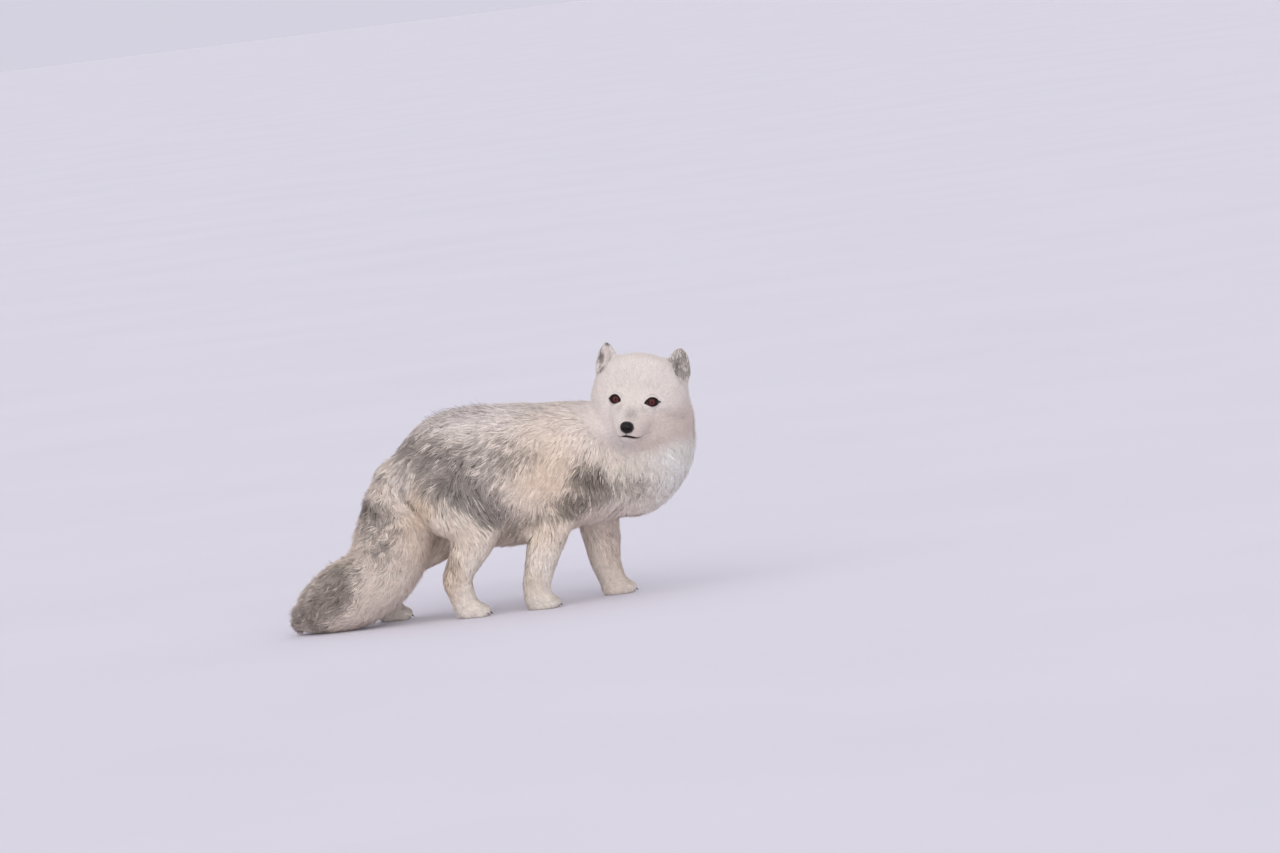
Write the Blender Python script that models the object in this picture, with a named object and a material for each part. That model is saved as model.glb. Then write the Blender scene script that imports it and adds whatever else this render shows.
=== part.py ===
"""Arctic fox in its winter coat, as a still, life-size model.

It stands on all four feet in mid stride, with its head turned over its right shoulder and its brush
hanging to the ground. +X is the way the body faces, +Y its left side and +Z up, in metres, with the
soles and the underside of the brush on Z = 0. The solids are the outline of the coat, out to its tips.

The body is lofted from named stations, fused into one skin, and parted into nodes with thin cuts.
"""

import math

import bmesh
import bpy
import numpy as np
from mathutils import Matrix, Vector

MM = 0.001

# Driving dimensions, in millimetres.
CUT = 0.5  # width of the cuts between neighbouring nodes
FUSE_VOXEL = 2.6  # grid on which the lofts are fused into one body
BODY_TRIANGLES = 3180
TAIL_TRIANGLES = 600
TINY = 0.01  # edges shorter than this are closed up
FLAT = 1.5  # degrees between faces that count as one flat
SHARP = 50.0  # degrees between faces that meet in an edge

# The head's own frame has its origin midway between the eyes, +X out of the nose and +Z out of the crown.
HEAD_AT = (225.5, -78.0, 279.5)
HEAD_TURN, HEAD_NOD, HEAD_TILT = -102.8, 9.8, -10.8  # degrees: to the right, down, left ear down

RING_POINTS = 28
REGION_POINTS = 16
STEPS = 5  # rings between two stations

# Trunk stations: x, y, z of the middle, half-width, height above and depth below the middle.
TRUNK = {
    "tail_root": (-140, 0, 212, 30, 24, 34),
    "buttock": (-120, 0, 205, 57, 48, 62),
    "croup": (-82, 0, 200, 74, 83, 78),
    "loin": (-22, 0, 196, 78, 99, 98),
    "flank": (40, 0, 190, 82, 103, 101),
    "ribs": (92, 0, 190, 85, 98, 92),
    "shoulder": (142, 0, 192, 82, 92, 84),
    "breast": (188, -1, 188, 74, 79, 80),
    "breastbone": (224, -3, 180, 58, 62, 60),
}

# Neck and ruff: x, y, z of the middle and one radius, from the withers round the breast to the nape.
NECK = {
    "withers": (150, 2, 216, 66),
    "breast": (200, 0, 176, 66),
    "throat": (226, -5, 204, 76),
    "ruff": (231, -10, 236, 77),
    "nape": (237, -18, 262, 70),
}

# Head, in its own frame: x forward, y, middle height, half-width, height above and depth below.
HEAD = {
    "nape": (-88, 0, -14, 54, 54, 52),
    "occiput": (-68, 0, -16, 65, 71, 60),
    "cheeks": (-42, 0, -20, 71, 79, 60),
    "temples": (-21, 0, -21, 63, 67, 54),
    "brow": (-8, 0, -20, 52, 51, 45),
    "face": (0, 0, -19, 43, 32, 36),
}
FACE_BLUNTNESS = 0.22  # how far the face bulges forward of its last station, as a part of its height
MUZZLE = {
    "root": (-10, 0, -18, 42, 30, 34),
    "stop": (9, 0, -23, 30, 23, 30),
    "bridge": (23, 0, -27, 24, 16, 26),
    "whiskers": (35, 0, -31, 20.5, 13.5, 23),
    "lips": (45, 0, -32, 16, 11.5, 18),
}
JAW_AT, JAW_RADII = (27.0, 0.0, -43.0), (20.0, 15.0, 9.5)
NOSE_AT, NOSE_RADII = (49.5, 0.0, -26.0), (8.0, 9.5, 8.2)
EYE_RADIUS = 8.4
EYE_AT = (2.0, 26.0, 0.0)  # the left eye; the right is its mirror image
EAR_BASE, EAR_TIP = (-54.0, 51.0, 12.0), (-62.0, 53.0, 67.0)
EAR_WIDTH, EAR_THICKNESS = 19.5, 9.0  # half-width and half-thickness at its root
EAR_FACES = (0.87, 0.5, 0.0)  # where the left ear's cup opens

# Limbs: x, y, z, half-width, reach forward and reach backward.
FORELEG_RIGHT = {
    "shoulder": (112, -44, 186, 28, 36, 36),
    "elbow": (95, -50, 138, 28, 34, 34),
    "forearm": (83, -50, 108, 25, 30, 30),
    "mid": (72, -49, 80, 21, 25, 25),
    "low": (63, -48, 54, 19, 21.5, 21.5),
    "wrist": (57, -47, 34, 18.5, 20, 20),
    "pastern": (56, -47, 14, 18.5, 19.5, 19.5),
}
FORELEG_LEFT = {
    "shoulder": (140, 44, 186, 28, 36, 36),
    "elbow": (149, 48, 138, 28, 34, 34),
    "forearm": (154, 47, 108, 25, 31, 31),
    "mid": (156, 46, 78, 22, 27, 27),
    "low": (157, 45, 50, 19.5, 22.5, 22.5),
    "wrist": (162, 44, 30, 18.5, 20, 20),
    "pastern": (165, 44, 14, 18.5, 19, 19),
}
HINDLEG_RIGHT = {
    "hip": (-78, -34, 214, 36, 44, 44),
    "thigh": (-48, -48, 170, 36, 54, 54),
    "knee": (-22, -54, 124, 30, 38, 40),
    "shank": (-33, -53, 94, 22, 28, 28),
    "above_hock": (-46, -51, 72, 18.5, 22.5, 22.5),
    "hock": (-53, -50, 54, 17.5, 21, 22),
    "metatarsus": (-49, -49, 34, 17, 18.5, 19),
    "fetlock": (-45, -48, 14, 17.5, 18.5, 18.5),
}
HINDLEG_LEFT = {
    "hip": (-80, 34, 214, 36, 44, 44),
    "thigh": (-76, 48, 166, 36, 50, 50),
    "knee": (-62, 54, 122, 30, 37, 38),
    "shank": (-92, 54, 95, 22, 26, 27),
    "above_hock": (-128, 54, 79, 18, 20, 22),
    "hock": (-158, 54, 60, 17, 18.5, 20.5),
    "metatarsus": (-158, 54, 36, 17, 17.5, 18),
    "fetlock": (-154, 54, 14, 17.5, 18, 18),
}

# The brush: x, y, z, half-width, reach on the outside of its bend and on the inside.
BRUSH = {
    "root": (-100, -1, 218, 24, 22, 22),
    "dock": (-119, -6, 198, 37, 34, 37),
    "upper": (-130, -13, 166, 47, 47, 46),
    "middle": (-137, -18, 128, 55, 58, 54),
    "bend": (-160, -20, 88, 58, 60, 58),
    "lower": (-204, -16, 56, 54, 56, 51),
    "laid": (-246, -9, 38, 44, 43, 42),
    "end": (-272, -3, 25, 30, 29, 27),
    "tip": (-288, 1, 15, 14, 16, 13),
}

# Paws: middle of the sole and the way the toes point, in degrees from +X.
PAWS = {
    "foreleg_right": (66, -46, -4),
    "foreleg_left": (174, 44, 6),
    "hindleg_right": (-34, -47, -4),
    "hindleg_left": (-148, 54, 4),
}
PAW_LENGTH, PAW_WIDTH, PAW_HEIGHT = 56.0, 40.0, 27.0
TOE_SPREAD, TOE_RADIUS = 8.8, 7.8

# Where the fox is parted.
PAW_TOP = 30.0  # height of the cuts above the paws
LEG_REGIONS = {
    "foreleg_right": {"top": (90, -62, 116, 47, 42, 42), "foot": (50, -47, 8, 27, 36, 34)},
    "foreleg_left": {"top": (150, 60, 116, 47, 42, 42), "foot": (165, 44, 8, 27, 36, 36)},
    "hindleg_right": {"top": (-44, -64, 142, 57, 64, 62), "foot": (-50, -49, 8, 27, 50, 40)},
    "hindleg_left": {"top": (-80, 64, 140, 57, 64, 54), "foot": (-166, 54, 10, 28, 60, 46)},
}
HEAD_REGION = {
    "back": (-84, 0, -8, 58, 56, 56),
    "ears": (-58, 0, -8, 84, 74, 72),
    "temples": (-28, 0, -8, 88, 78, 72),
    "eyes": (6, 0, -10, 72, 64, 60),
    "muzzle": (36, 0, -20, 50, 44, 46),
    "nose": (62, 0, -26, 34, 30, 34),
}
NECK_AT, NECK_FACES = (196, 0, 190), (0.93, 0, 0.36)  # a plane from the withers to the breast
TAIL_PLANES = {
    "tail_root": ((-130, 0, 150), (0.22, 0, 0.98)),
    "tail_end": ((-214, 0, 54), (-0.87, 0, -0.49)),
}

# What keeps its detail when the body is smoothed: a ball round the face, and the lower legs.
FACE_MIDDLE, FACE_RADIUS = (-10.0, 0.0, -4.0), 82.0
SOFT_ABOVE, SOFT_FULLY = 55.0, 115.0

# Colours: red, green and blue, roughness.
COAT = (0.80, 0.76, 0.69, 0.9)
FACE_COAT = (0.78, 0.75, 0.72, 0.9)
EAR_COAT = (0.52, 0.49, 0.46, 0.9)
LEG_COAT = (0.72, 0.64, 0.52, 0.9)
BRUSH_COAT = (0.66, 0.61, 0.54, 0.9)
BRUSH_END_COAT = (0.40, 0.36, 0.32, 0.9)
NOSE_SKIN = (0.012, 0.011, 0.012, 0.3)
EYE_BROWN = (0.10, 0.025, 0.015, 0.06)
COLOURS = {
    "head": FACE_COAT,
    "ear": EAR_COAT,
    "foreleg": LEG_COAT,
    "hindleg": LEG_COAT,
    "forepaw": LEG_COAT,
    "hindpaw": LEG_COAT,
    "tail": BRUSH_COAT,
    "tail_end": BRUSH_END_COAT,
    "nose": NOSE_SKIN,
    "eye": EYE_BROWN,
}


# ---------------------------------------------------------------- lofts


def smooth_steps(stations, steps=STEPS):
    """The stations with Catmull-Rom steps between them."""
    points = [np.array(s, float) for s in stations]
    points = [2 * points[0] - points[1], *points, 2 * points[-1] - points[-2]]
    rows = []
    for a, b, c, d in zip(points, points[1:], points[2:], points[3:]):
        for k in range(steps):
            t = k / steps
            rows.append(
                0.5 * (2 * b + (c - a) * t + (2 * a - 5 * b + 4 * c - d) * t**2
                       + (3 * b - a - 3 * c + d) * t**3)
            )
    rows.append(points[-2])
    return np.array(rows)


def ring_frames(centres, upright):
    """Tangent, side and up vectors along a line of centres."""
    tangents = np.gradient(centres, axis=0)
    frames = []
    for t in tangents:
        t = Vector(t).normalized()
        side = Vector((0, 0, 1)).cross(t) if upright else Vector((0, 1, 0)) - t * t.y
        side.normalize()
        frames.append((t, side, t.cross(side)))
    return frames


def loft(stations, upright=True, squareness=2.15, bluntness=0.55, around=RING_POINTS, steps=STEPS):
    """A closed bmesh through stations of (x, y, z, half-width, reach up, reach down), with round ends."""
    rows = smooth_steps(stations.values(), steps)
    frames = ring_frames(rows[:, :3], upright)
    rings = []

    def ring(row, frame, push, scale):
        t, side, up = frame
        centre = Vector(row[:3]) + t * push
        points = []
        for k in range(around):
            angle = math.tau * k / around
            c, s = math.cos(angle), math.sin(angle)
            power = 2 / squareness
            across = math.copysign(abs(c) ** power, c) * row[3]
            reach = math.copysign(abs(s) ** power, s) * (row[4] if s > 0 else row[5])
            points.append(centre + (side * across + up * reach) * scale)
        return points

    def end(row, frame, way):
        """Rings that round an end off, from its rim to near its pole."""
        bulge = bluntness * min(row[3:6])
        turns = [math.radians(a) for a in (78, 55, 30)]
        return [ring(row, frame, way * bulge * math.sin(a), math.cos(a)) for a in turns], bulge

    back, back_bulge = end(rows[0], frames[0], -1)
    front, front_bulge = end(rows[-1], frames[-1], 1)
    rings += back
    rings += [ring(row, frame, 0, 1) for row, frame in zip(rows, frames)]
    rings += front[::-1]
    poles = (
        Vector(rows[0][:3]) - frames[0][0] * back_bulge,
        Vector(rows[-1][:3]) + frames[-1][0] * front_bulge,
    )
    shape = bmesh.new()
    rings = [[shape.verts.new(p) for p in points] for points in rings]
    for low, high in zip(rings, rings[1:]):
        for k in range(around):
            n = (k + 1) % around
            shape.faces.new((low[k], low[n], high[n], high[k]))
    for pole, rim in zip(poles, (rings[0][::-1], rings[-1])):
        top = shape.verts.new(pole)
        for k in range(around):
            shape.faces.new((rim[k], rim[(k + 1) % around], top))
    bmesh.ops.recalc_face_normals(shape, faces=shape.faces)
    return shape


def widened(stations, extra):
    """Stations with every reach made longer."""
    wider = {}
    for name, (x, y, z, *reach) in stations.items():
        wider[name] = (x, y, z, *(r + extra for r in reach))
    return wider


def ball(at, radii, turn=Matrix.Identity(3), detail=3):
    """An ellipsoid, as a bmesh."""
    shape = bmesh.new()
    bmesh.ops.create_icosphere(shape, subdivisions=detail, radius=1)
    place = Matrix.Translation(Vector(at)) @ turn.to_4x4() @ Matrix.Diagonal((*radii, 1))
    bmesh.ops.transform(shape, matrix=place, verts=shape.verts)
    return shape


def chain(stations):
    """A row of overlapping balls, each as large as its station says."""
    return [ball(row[:3], (row[3],) * 3) for row in smooth_steps(stations.values())]


def block(low, high, extra=0.0):
    """A box between two corners, grown on every side."""
    shape = bmesh.new()
    bmesh.ops.create_cube(shape, size=1)
    low, high = Vector(low), Vector(high)
    size = high - low + Vector((2 * extra,) * 3)
    place = Matrix.Translation((low + high) / 2) @ Matrix.Diagonal((*size, 1))
    bmesh.ops.transform(shape, matrix=place, verts=shape.verts)
    return shape


def beyond(at, facing, extra):
    """A large box with one face on the plane through a point, reaching from there the way it's facing."""
    shape = block((-extra, -200, -200), (400, 200, 200))
    place = Matrix.Translation(at) @ Vector(facing).to_track_quat("X", "Z").to_matrix().to_4x4()
    bmesh.ops.transform(shape, matrix=place, verts=shape.verts)
    return shape


def mesh_of(name, shapes):
    """One mesh, in metres, of several bmeshes in millimetres."""
    joined = bpy.data.meshes.new(name)
    whole = bmesh.new()
    for shape in shapes:
        shape.to_mesh(joined)
        shape.free()
        whole.from_mesh(joined)
    bmesh.ops.scale(whole, vec=(MM, MM, MM), verts=whole.verts)
    whole.to_mesh(joined)
    whole.free()
    return joined


def add_object(name, mesh):
    obj = bpy.data.objects.new(name, mesh)
    bpy.context.scene.collection.objects.link(obj)
    return obj


def with_modifiers(obj):
    """The mesh of an object with its modifiers applied. The object is removed."""
    bpy.context.view_layer.update()
    graph = bpy.context.evaluated_depsgraph_get()
    mesh = bpy.data.meshes.new_from_object(obj.evaluated_get(graph))
    bpy.data.objects.remove(obj)
    return mesh


# ---------------------------------------------------------------- head


def head_matrix():
    """Carries the head's frame, in millimetres, to the fox's."""
    turn = Matrix.Rotation(math.radians(HEAD_TURN), 3, "Z")
    nod = Matrix.Rotation(math.radians(HEAD_NOD), 3, "Y")
    tilt = Matrix.Rotation(math.radians(HEAD_TILT), 3, "X")
    return Matrix.Translation(HEAD_AT) @ (turn @ nod @ tilt).to_4x4()


def on_head(shape):
    bmesh.ops.transform(shape, matrix=head_matrix(), verts=shape.verts)
    return shape


def sided(point, side):
    """A point given for the fox's left, or its mirror image when side is -1."""
    return Vector((point[0], point[1] * side, point[2]))


def head_shapes():
    shapes = [
        loft(HEAD, squareness=2.25, bluntness=FACE_BLUNTNESS),
        loft(MUZZLE),
        ball(JAW_AT, JAW_RADII),
    ]
    return [on_head(shape) for shape in shapes]


def head_region(extra):
    """A shape round the head and muzzle, which the head is cut from the neck with."""
    shape = loft(widened(HEAD_REGION, extra), bluntness=0.3, around=REGION_POINTS, steps=1)
    return on_head(shape)


def leg_region(sleeve, extra):
    """A sleeve with a round top about a leg."""
    sleeve = widened(sleeve, extra)
    return loft(sleeve, upright=False, bluntness=1.0, around=REGION_POINTS, steps=1)


def ear_axes(side):
    """The ear's base, its length and a frame with +X out of its cup and +Z towards its tip."""
    base, tip = sided(EAR_BASE, side), sided(EAR_TIP, side)
    up = (tip - base).normalized()
    facing = sided(EAR_FACES, side)
    facing = (facing - up * up.dot(facing)).normalized()
    frame = Matrix((facing, up.cross(facing), up)).transposed()
    return base, (tip - base).length, frame


def on_ear(shape, side):
    base, _, frame = ear_axes(side)
    bmesh.ops.transform(shape, matrix=Matrix.Translation(base) @ frame.to_4x4(), verts=shape.verts)
    return on_head(shape)


def ear_shape(side):
    """A rounded ear. side is 1 for the left ear and -1 for the right."""
    _, length, _ = ear_axes(side)
    # part of the length, of the width and of the thickness
    profile = {
        "root": (-0.20, 1.0, 1.4),
        "base": (0.0, 1.0, 1.25),
        "middle": (0.45, 0.98, 0.95),
        "top": (0.80, 0.70, 0.66),
        "tip": (0.95, 0.34, 0.42),
    }
    stations = {}
    for name, (along, wide, thick) in profile.items():
        reach = EAR_THICKNESS * thick
        stations[name] = (0, 0, along * length, EAR_WIDTH * wide, reach, reach)
    return on_ear(loft(stations, upright=False), side)


def ear_hollow(side):
    """What the cup of an ear is cut out with."""
    _, length, _ = ear_axes(side)
    at = (EAR_THICKNESS * 1.35, 0, length * 0.42)
    radii = (EAR_THICKNESS * 1.15, EAR_WIDTH * 0.66, length * 0.40)
    return on_ear(ball(at, radii, detail=2), side)


def ear_region(side, extra):
    """An ellipsoid round an ear, which its root is cut with."""
    _, length, _ = ear_axes(side)
    radii = (EAR_THICKNESS * 2.1, EAR_WIDTH * 1.3, length * 0.72)
    return on_ear(ball((0, 0, length * 0.5), [r + extra for r in radii], detail=2), side)


# ---------------------------------------------------------------- limbs


def paw_shapes(at):
    """The sole, the round top of the foot and four toes."""
    x, y, heading = at
    turn = Matrix.Rotation(math.radians(heading), 3, "Z")
    shapes = [
        ball((-6, 0, PAW_HEIGHT * 0.36), (PAW_LENGTH * 0.40, PAW_WIDTH * 0.47, PAW_HEIGHT * 0.62)),
    ]
    for toe in (-1.5, -0.5, 0.5, 1.5):
        reach = PAW_LENGTH * (0.30 - 0.035 * abs(toe) ** 2)
        radii = (TOE_RADIUS * 1.75, TOE_RADIUS, TOE_RADIUS * 1.3)
        shapes.append(ball((reach - 6, toe * TOE_SPREAD, 8.2), radii))
    place = Matrix.Translation((x, y, 0)) @ turn.to_4x4()
    for shape in shapes:
        bmesh.ops.transform(shape, matrix=place, verts=shape.verts)
    return shapes


def paw_region(at, extra):
    x, y, _ = at
    reach, width = PAW_LENGTH, PAW_WIDTH
    return block((x - reach, y - width, -20), (x + reach, y + width, PAW_TOP), extra)


# ---------------------------------------------------------------- fusing and parting


def add_smooth(obj, iterations, group=""):
    smooth = obj.modifiers.new("Smooth", "SMOOTH")
    smooth.factor = 0.5
    smooth.iterations = iterations
    smooth.vertex_group = group


def fused(name, shapes, all_over, where_soft, triangles):
    """Overlapping shapes as one closed, smoothed mesh of about that many triangles, on the ground."""
    guide = add_object(name, mesh_of(name, shapes))
    remesh = guide.modifiers.new("Fuse", "REMESH")
    remesh.mode = "VOXEL"
    remesh.voxel_size = FUSE_VOXEL * MM
    add_smooth(guide, all_over)
    guide = add_object(name, with_modifiers(guide))
    group = guide.vertex_groups.new(name="soft")
    face = head_matrix() @ Vector(FACE_MIDDLE)
    for vertex in guide.data.vertices:
        away = 2 * ((vertex.co / MM - face).length / FACE_RADIUS - 1)
        high = (vertex.co.z / MM - SOFT_ABOVE) / (SOFT_FULLY - SOFT_ABOVE)
        group.add([vertex.index], min(max(min(away, high), 0.0), 1.0), "REPLACE")
    add_smooth(guide, where_soft, "soft")
    thin = guide.modifiers.new("Thin", "DECIMATE")
    thin.ratio = triangles / (2 * len(guide.data.polygons))
    mesh = with_modifiers(guide)
    return carved(mesh, "DIFFERENCE", block((-500, -300, -60), (500, 300, 0)))


def carved(mesh, operation, *shapes):
    """A mesh with shapes cut out of it, or what it shares with them."""
    body = add_object("body", mesh)
    cutter = add_object("cutter", mesh_of("cutter", shapes))
    cutter.hide_render = True
    cutter.display_type = "WIRE"
    cut = body.modifiers.new("Cut", "BOOLEAN")
    cut.solver = "EXACT"
    cut.operation = operation
    cut.object = cutter
    result = with_modifiers(body)
    bpy.data.objects.remove(cutter)
    return result


def grown(mesh, extra):
    """A mesh as a bmesh in millimetres, grown by extra."""
    shape = bmesh.new()
    shape.from_mesh(mesh)
    shape.normal_update()
    for vertex in shape.verts:
        vertex.co = vertex.co / MM + vertex.normal * extra
    return shape


def parted(mesh, regions, rest):
    """Nodes cut off a mesh one after another, each by its region, and what's left under a last name."""
    nodes = {}
    for name, region in regions.items():
        nodes[name] = carved(mesh.copy(), "INTERSECT", region(0.0))
        mesh = carved(mesh, "DIFFERENCE", region(CUT))
    nodes[rest] = mesh
    return nodes


def tidied(mesh):
    """The largest piece of a mesh, with its smallest edges closed up and its flat faces joined."""
    shape = bmesh.new()
    shape.from_mesh(mesh)
    bmesh.ops.remove_doubles(shape, verts=shape.verts, dist=TINY * MM)
    pieces = []
    left = set(shape.verts)
    while left:
        piece = [left.pop()]
        for vertex in piece:
            near = {edge.other_vert(vertex) for edge in vertex.link_edges} & left
            left -= near
            piece.extend(near)
        pieces.append(piece)
    pieces.sort(key=len)
    for piece in pieces[:-1]:
        bmesh.ops.delete(shape, geom=piece, context="VERTS")
    bmesh.ops.dissolve_limit(
        shape, angle_limit=math.radians(FLAT), verts=shape.verts, edges=shape.edges
    )
    bmesh.ops.triangulate(shape, faces=shape.faces)
    shape.to_mesh(mesh)
    shape.free()
    return mesh


def body_regions():
    regions = {
        "ear_left": lambda extra: ear_region(1, extra),
        "ear_right": lambda extra: ear_region(-1, extra),
        "head": head_region,
        "neck": lambda extra: beyond(NECK_AT, NECK_FACES, extra),
    }
    for name in LEG_REGIONS:
        at = PAWS[name]
        regions[name.replace("leg", "paw")] = lambda extra, at=at: paw_region(at, extra)
    for name, sleeve in LEG_REGIONS.items():
        regions[name] = lambda extra, sleeve=sleeve: leg_region(sleeve, extra)
    return regions


def tail_regions():
    regions = {}
    for name, (at, facing) in TAIL_PLANES.items():
        regions[name] = lambda extra, at=at, facing=facing: beyond(at, facing, extra)
    return regions


def add_material(obj):
    names = [n for n in COLOURS if obj.name.startswith(n)]
    red, green, blue, roughness = COLOURS[max(names, key=len)] if names else COAT
    material = bpy.data.materials.new(obj.name)
    material.use_nodes = True
    shader = material.node_tree.nodes["Principled BSDF"]
    shader.inputs["Base Color"].default_value = (red, green, blue, 1)
    shader.inputs["Roughness"].default_value = roughness
    shader.inputs["Metallic"].default_value = 0.0
    material.diffuse_color = (red, green, blue, 1)
    obj.data.materials.clear()
    obj.data.materials.append(material)


def box_middle(meshes):
    corners = np.array([vertex.co for mesh in meshes for vertex in mesh.vertices])
    return Vector((corners.min(axis=0) + corners.max(axis=0)) / 2)


def settle(objects):
    """Stands the fox with the middle of its box at X = Y = 0, and gives each node an origin in its own middle."""
    stand = box_middle([obj.data for obj in objects])
    stand.z = 0
    for obj in objects:
        middle = box_middle([obj.data])
        obj.data.transform(Matrix.Translation(-middle))
        obj.location = middle - stand


def main():
    for obj in list(bpy.data.objects):
        bpy.data.objects.remove(obj)

    limbs = {
        "foreleg_right": FORELEG_RIGHT,
        "foreleg_left": FORELEG_LEFT,
        "hindleg_right": HINDLEG_RIGHT,
        "hindleg_left": HINDLEG_LEFT,
    }
    shapes = [loft(TRUNK), *chain(NECK), *head_shapes(), ear_shape(1), ear_shape(-1)]
    for name, stations in limbs.items():
        shapes.append(loft(stations, upright=False))
        shapes += paw_shapes(PAWS[name])
    body = fused("body", shapes, 8, 30, BODY_TRIANGLES)
    tail = fused("tail", [loft(BRUSH, upright=False)], 4, 10, TAIL_TRIANGLES)

    body = carved(body, "DIFFERENCE", grown(tail, CUT))
    body = carved(body, "DIFFERENCE", ear_hollow(1), ear_hollow(-1))
    nodes = {}
    for side, name in ((1, "eye_left"), (-1, "eye_right")):
        at = sided(EYE_AT, side)
        nodes[name] = mesh_of(name, [on_head(ball(at, (EYE_RADIUS,) * 3))])
        body = carved(body, "DIFFERENCE", on_head(ball(at, (EYE_RADIUS + CUT,) * 3)))
    nodes["nose"] = mesh_of("nose", [on_head(ball(NOSE_AT, NOSE_RADII, detail=2))])
    body = carved(body, "DIFFERENCE", on_head(ball(NOSE_AT, [r + CUT for r in NOSE_RADII], detail=2)))

    parts = parted(body, body_regions(), "trunk") | parted(tail, tail_regions(), "tail")
    nodes.update((name, tidied(mesh)) for name, mesh in parts.items())
    objects = [add_object(name, mesh) for name, mesh in nodes.items()]
    for obj in objects:
        obj.data.name = obj.name
        obj.data.shade_smooth()
        obj.data.set_sharp_from_angle(angle=math.radians(SHARP))
        add_material(obj)
    settle(objects)


main()
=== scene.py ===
"""The looks of the arctic fox: skin, coat, face, eyes and claws, with floor, light and camera.

One skin lies inside the solids of flesh by the depth of the coat, and carries the markings. The coat is made
of solid tufts. Each is a thin closed spike that leaves the skin, rises to the outline of the solids and
follows the lie of the coat. The head has a frame of its own, in millimetres, with its origin just behind the
point midway between the eyes, +X out of the nose, +Y to the fox's left and +Z out of the crown.
"""

import itertools
import math

import bmesh
import bpy
import numpy as np
from mathutils import Matrix, Vector
from mathutils.bvhtree import BVHTree
from mathutils.kdtree import KDTree


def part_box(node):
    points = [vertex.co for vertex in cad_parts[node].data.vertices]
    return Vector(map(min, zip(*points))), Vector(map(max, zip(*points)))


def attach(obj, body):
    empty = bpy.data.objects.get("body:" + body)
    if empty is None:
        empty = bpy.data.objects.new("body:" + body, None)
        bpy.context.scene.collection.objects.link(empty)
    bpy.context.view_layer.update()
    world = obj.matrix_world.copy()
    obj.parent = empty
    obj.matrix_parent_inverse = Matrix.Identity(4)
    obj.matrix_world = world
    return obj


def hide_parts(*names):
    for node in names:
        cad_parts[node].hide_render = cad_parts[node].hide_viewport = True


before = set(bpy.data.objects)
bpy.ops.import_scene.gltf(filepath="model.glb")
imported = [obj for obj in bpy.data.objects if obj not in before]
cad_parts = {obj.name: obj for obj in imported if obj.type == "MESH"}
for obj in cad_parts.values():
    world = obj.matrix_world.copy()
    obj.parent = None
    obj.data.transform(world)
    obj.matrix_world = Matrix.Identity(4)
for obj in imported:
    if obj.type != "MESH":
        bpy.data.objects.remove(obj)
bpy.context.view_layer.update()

MM = 0.001
BODY = "root"
PAINT = "coat_colour"  # the colour of each point of a piece
SIDES = {"left": 1, "right": -1}  # the fox's own sides, as the sign of y

# ---------------------------------------------------------------- small tools


def unit(vectors):
    """Vectors of length one, along the last axis."""
    return vectors / np.maximum(np.linalg.norm(vectors, axis=-1, keepdims=True), 1e-12)


def smooth(value, low, high):
    """0 below low, 1 above high, and a smooth step between."""
    t = np.clip((value - low) / (high - low), 0, 1)
    return t * t * (3 - 2 * t)


def mixed(first, second, share):
    """The first where share is 0, the second where it is 1, and a blend between."""
    return np.asarray(first) * (1 - share) + np.asarray(second) * share


def oval(points, middle, radii):
    """1 in the middle of a soft oval, falling to 0 outside it."""
    return np.exp(-np.sum(((points - np.array(middle)) / radii) ** 2, axis=1))


def away_from(points, spot):
    """How far each point is from a spot."""
    return np.linalg.norm(points - spot, axis=1)


def by_tables(values, steps, tables):
    """What each table says for the values, in columns."""
    return np.column_stack([np.interp(values, steps, table) for table in tables])


def mirrored(place, sign):
    """A place on the fox's left, or its mirror image on the right where sign is -1."""
    return np.array(place) * (1, sign, 1)


def stacked(parts):
    """The points and triangles of many parts as those of one."""
    points, triangles, count = [], [], 0
    for part, faces in parts:
        points.append(part)
        triangles.append(faces + count)
        count += len(part)
    return np.concatenate(points), np.concatenate(triangles)


def blotches(points, size, seed):
    """Smooth noise from -1 to 1, whose blotches are about size across."""
    cells = 32
    lattice = np.random.default_rng(seed).uniform(-1, 1, (cells, cells, cells))
    place = np.asarray(points) / size
    corner = np.floor(place).astype(int)
    part = place - corner
    part = part * part * (3 - 2 * part)
    total = np.zeros(len(place))
    for step in np.ndindex(2, 2, 2):
        weight = np.prod(np.where(step, part, 1 - part), axis=1)
        i, j, k = ((corner + step) % cells).T
        total += weight * lattice[i, j, k]
    return total


def add_mesh(name, points, faces, slot, material):
    """A smooth mesh object that rides on the body, with its material. The slot is not used."""
    mesh = bpy.data.meshes.new(name)
    faces = np.asarray(faces, np.int32)
    sides = faces.shape[1]
    mesh.vertices.add(len(points))
    mesh.vertices.foreach_set("co", np.asarray(points, np.float32).ravel())
    mesh.loops.add(faces.size)
    mesh.loops.foreach_set("vertex_index", faces.ravel())
    mesh.polygons.add(len(faces))
    mesh.polygons.foreach_set("loop_start", np.arange(0, faces.size, sides, dtype=np.int32))
    mesh.update(calc_edges=True)
    mesh.shade_smooth()
    mesh.materials.append(material)
    piece = bpy.data.objects.new(name, mesh)
    bpy.context.scene.collection.objects.link(piece)
    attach(piece, BODY)
    return piece


def paint(piece, colours):
    """A colour for each point of a piece, or one for all of them."""
    layer = piece.data.color_attributes.new(PAINT, "FLOAT_COLOR", "POINT")
    every = np.ones((len(piece.data.vertices), 4), np.float32)
    every[:, :3] = np.clip(np.reshape(colours, (-1, 3)), 0, 1)
    layer.data.foreach_set("color", every.ravel())


# ---------------------------------------------------------------- the head's own frame

NOSE_BELOW_EYES = math.atan2(26.0, 47.5)  # how steeply the nose lies below the eyes' middle
EYE_FORWARD = 2.0  # mm from the origin to the line through the eyes


def node_middle(name):
    lowest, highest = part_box(name)
    return np.array((lowest + highest) / 2)


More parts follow.
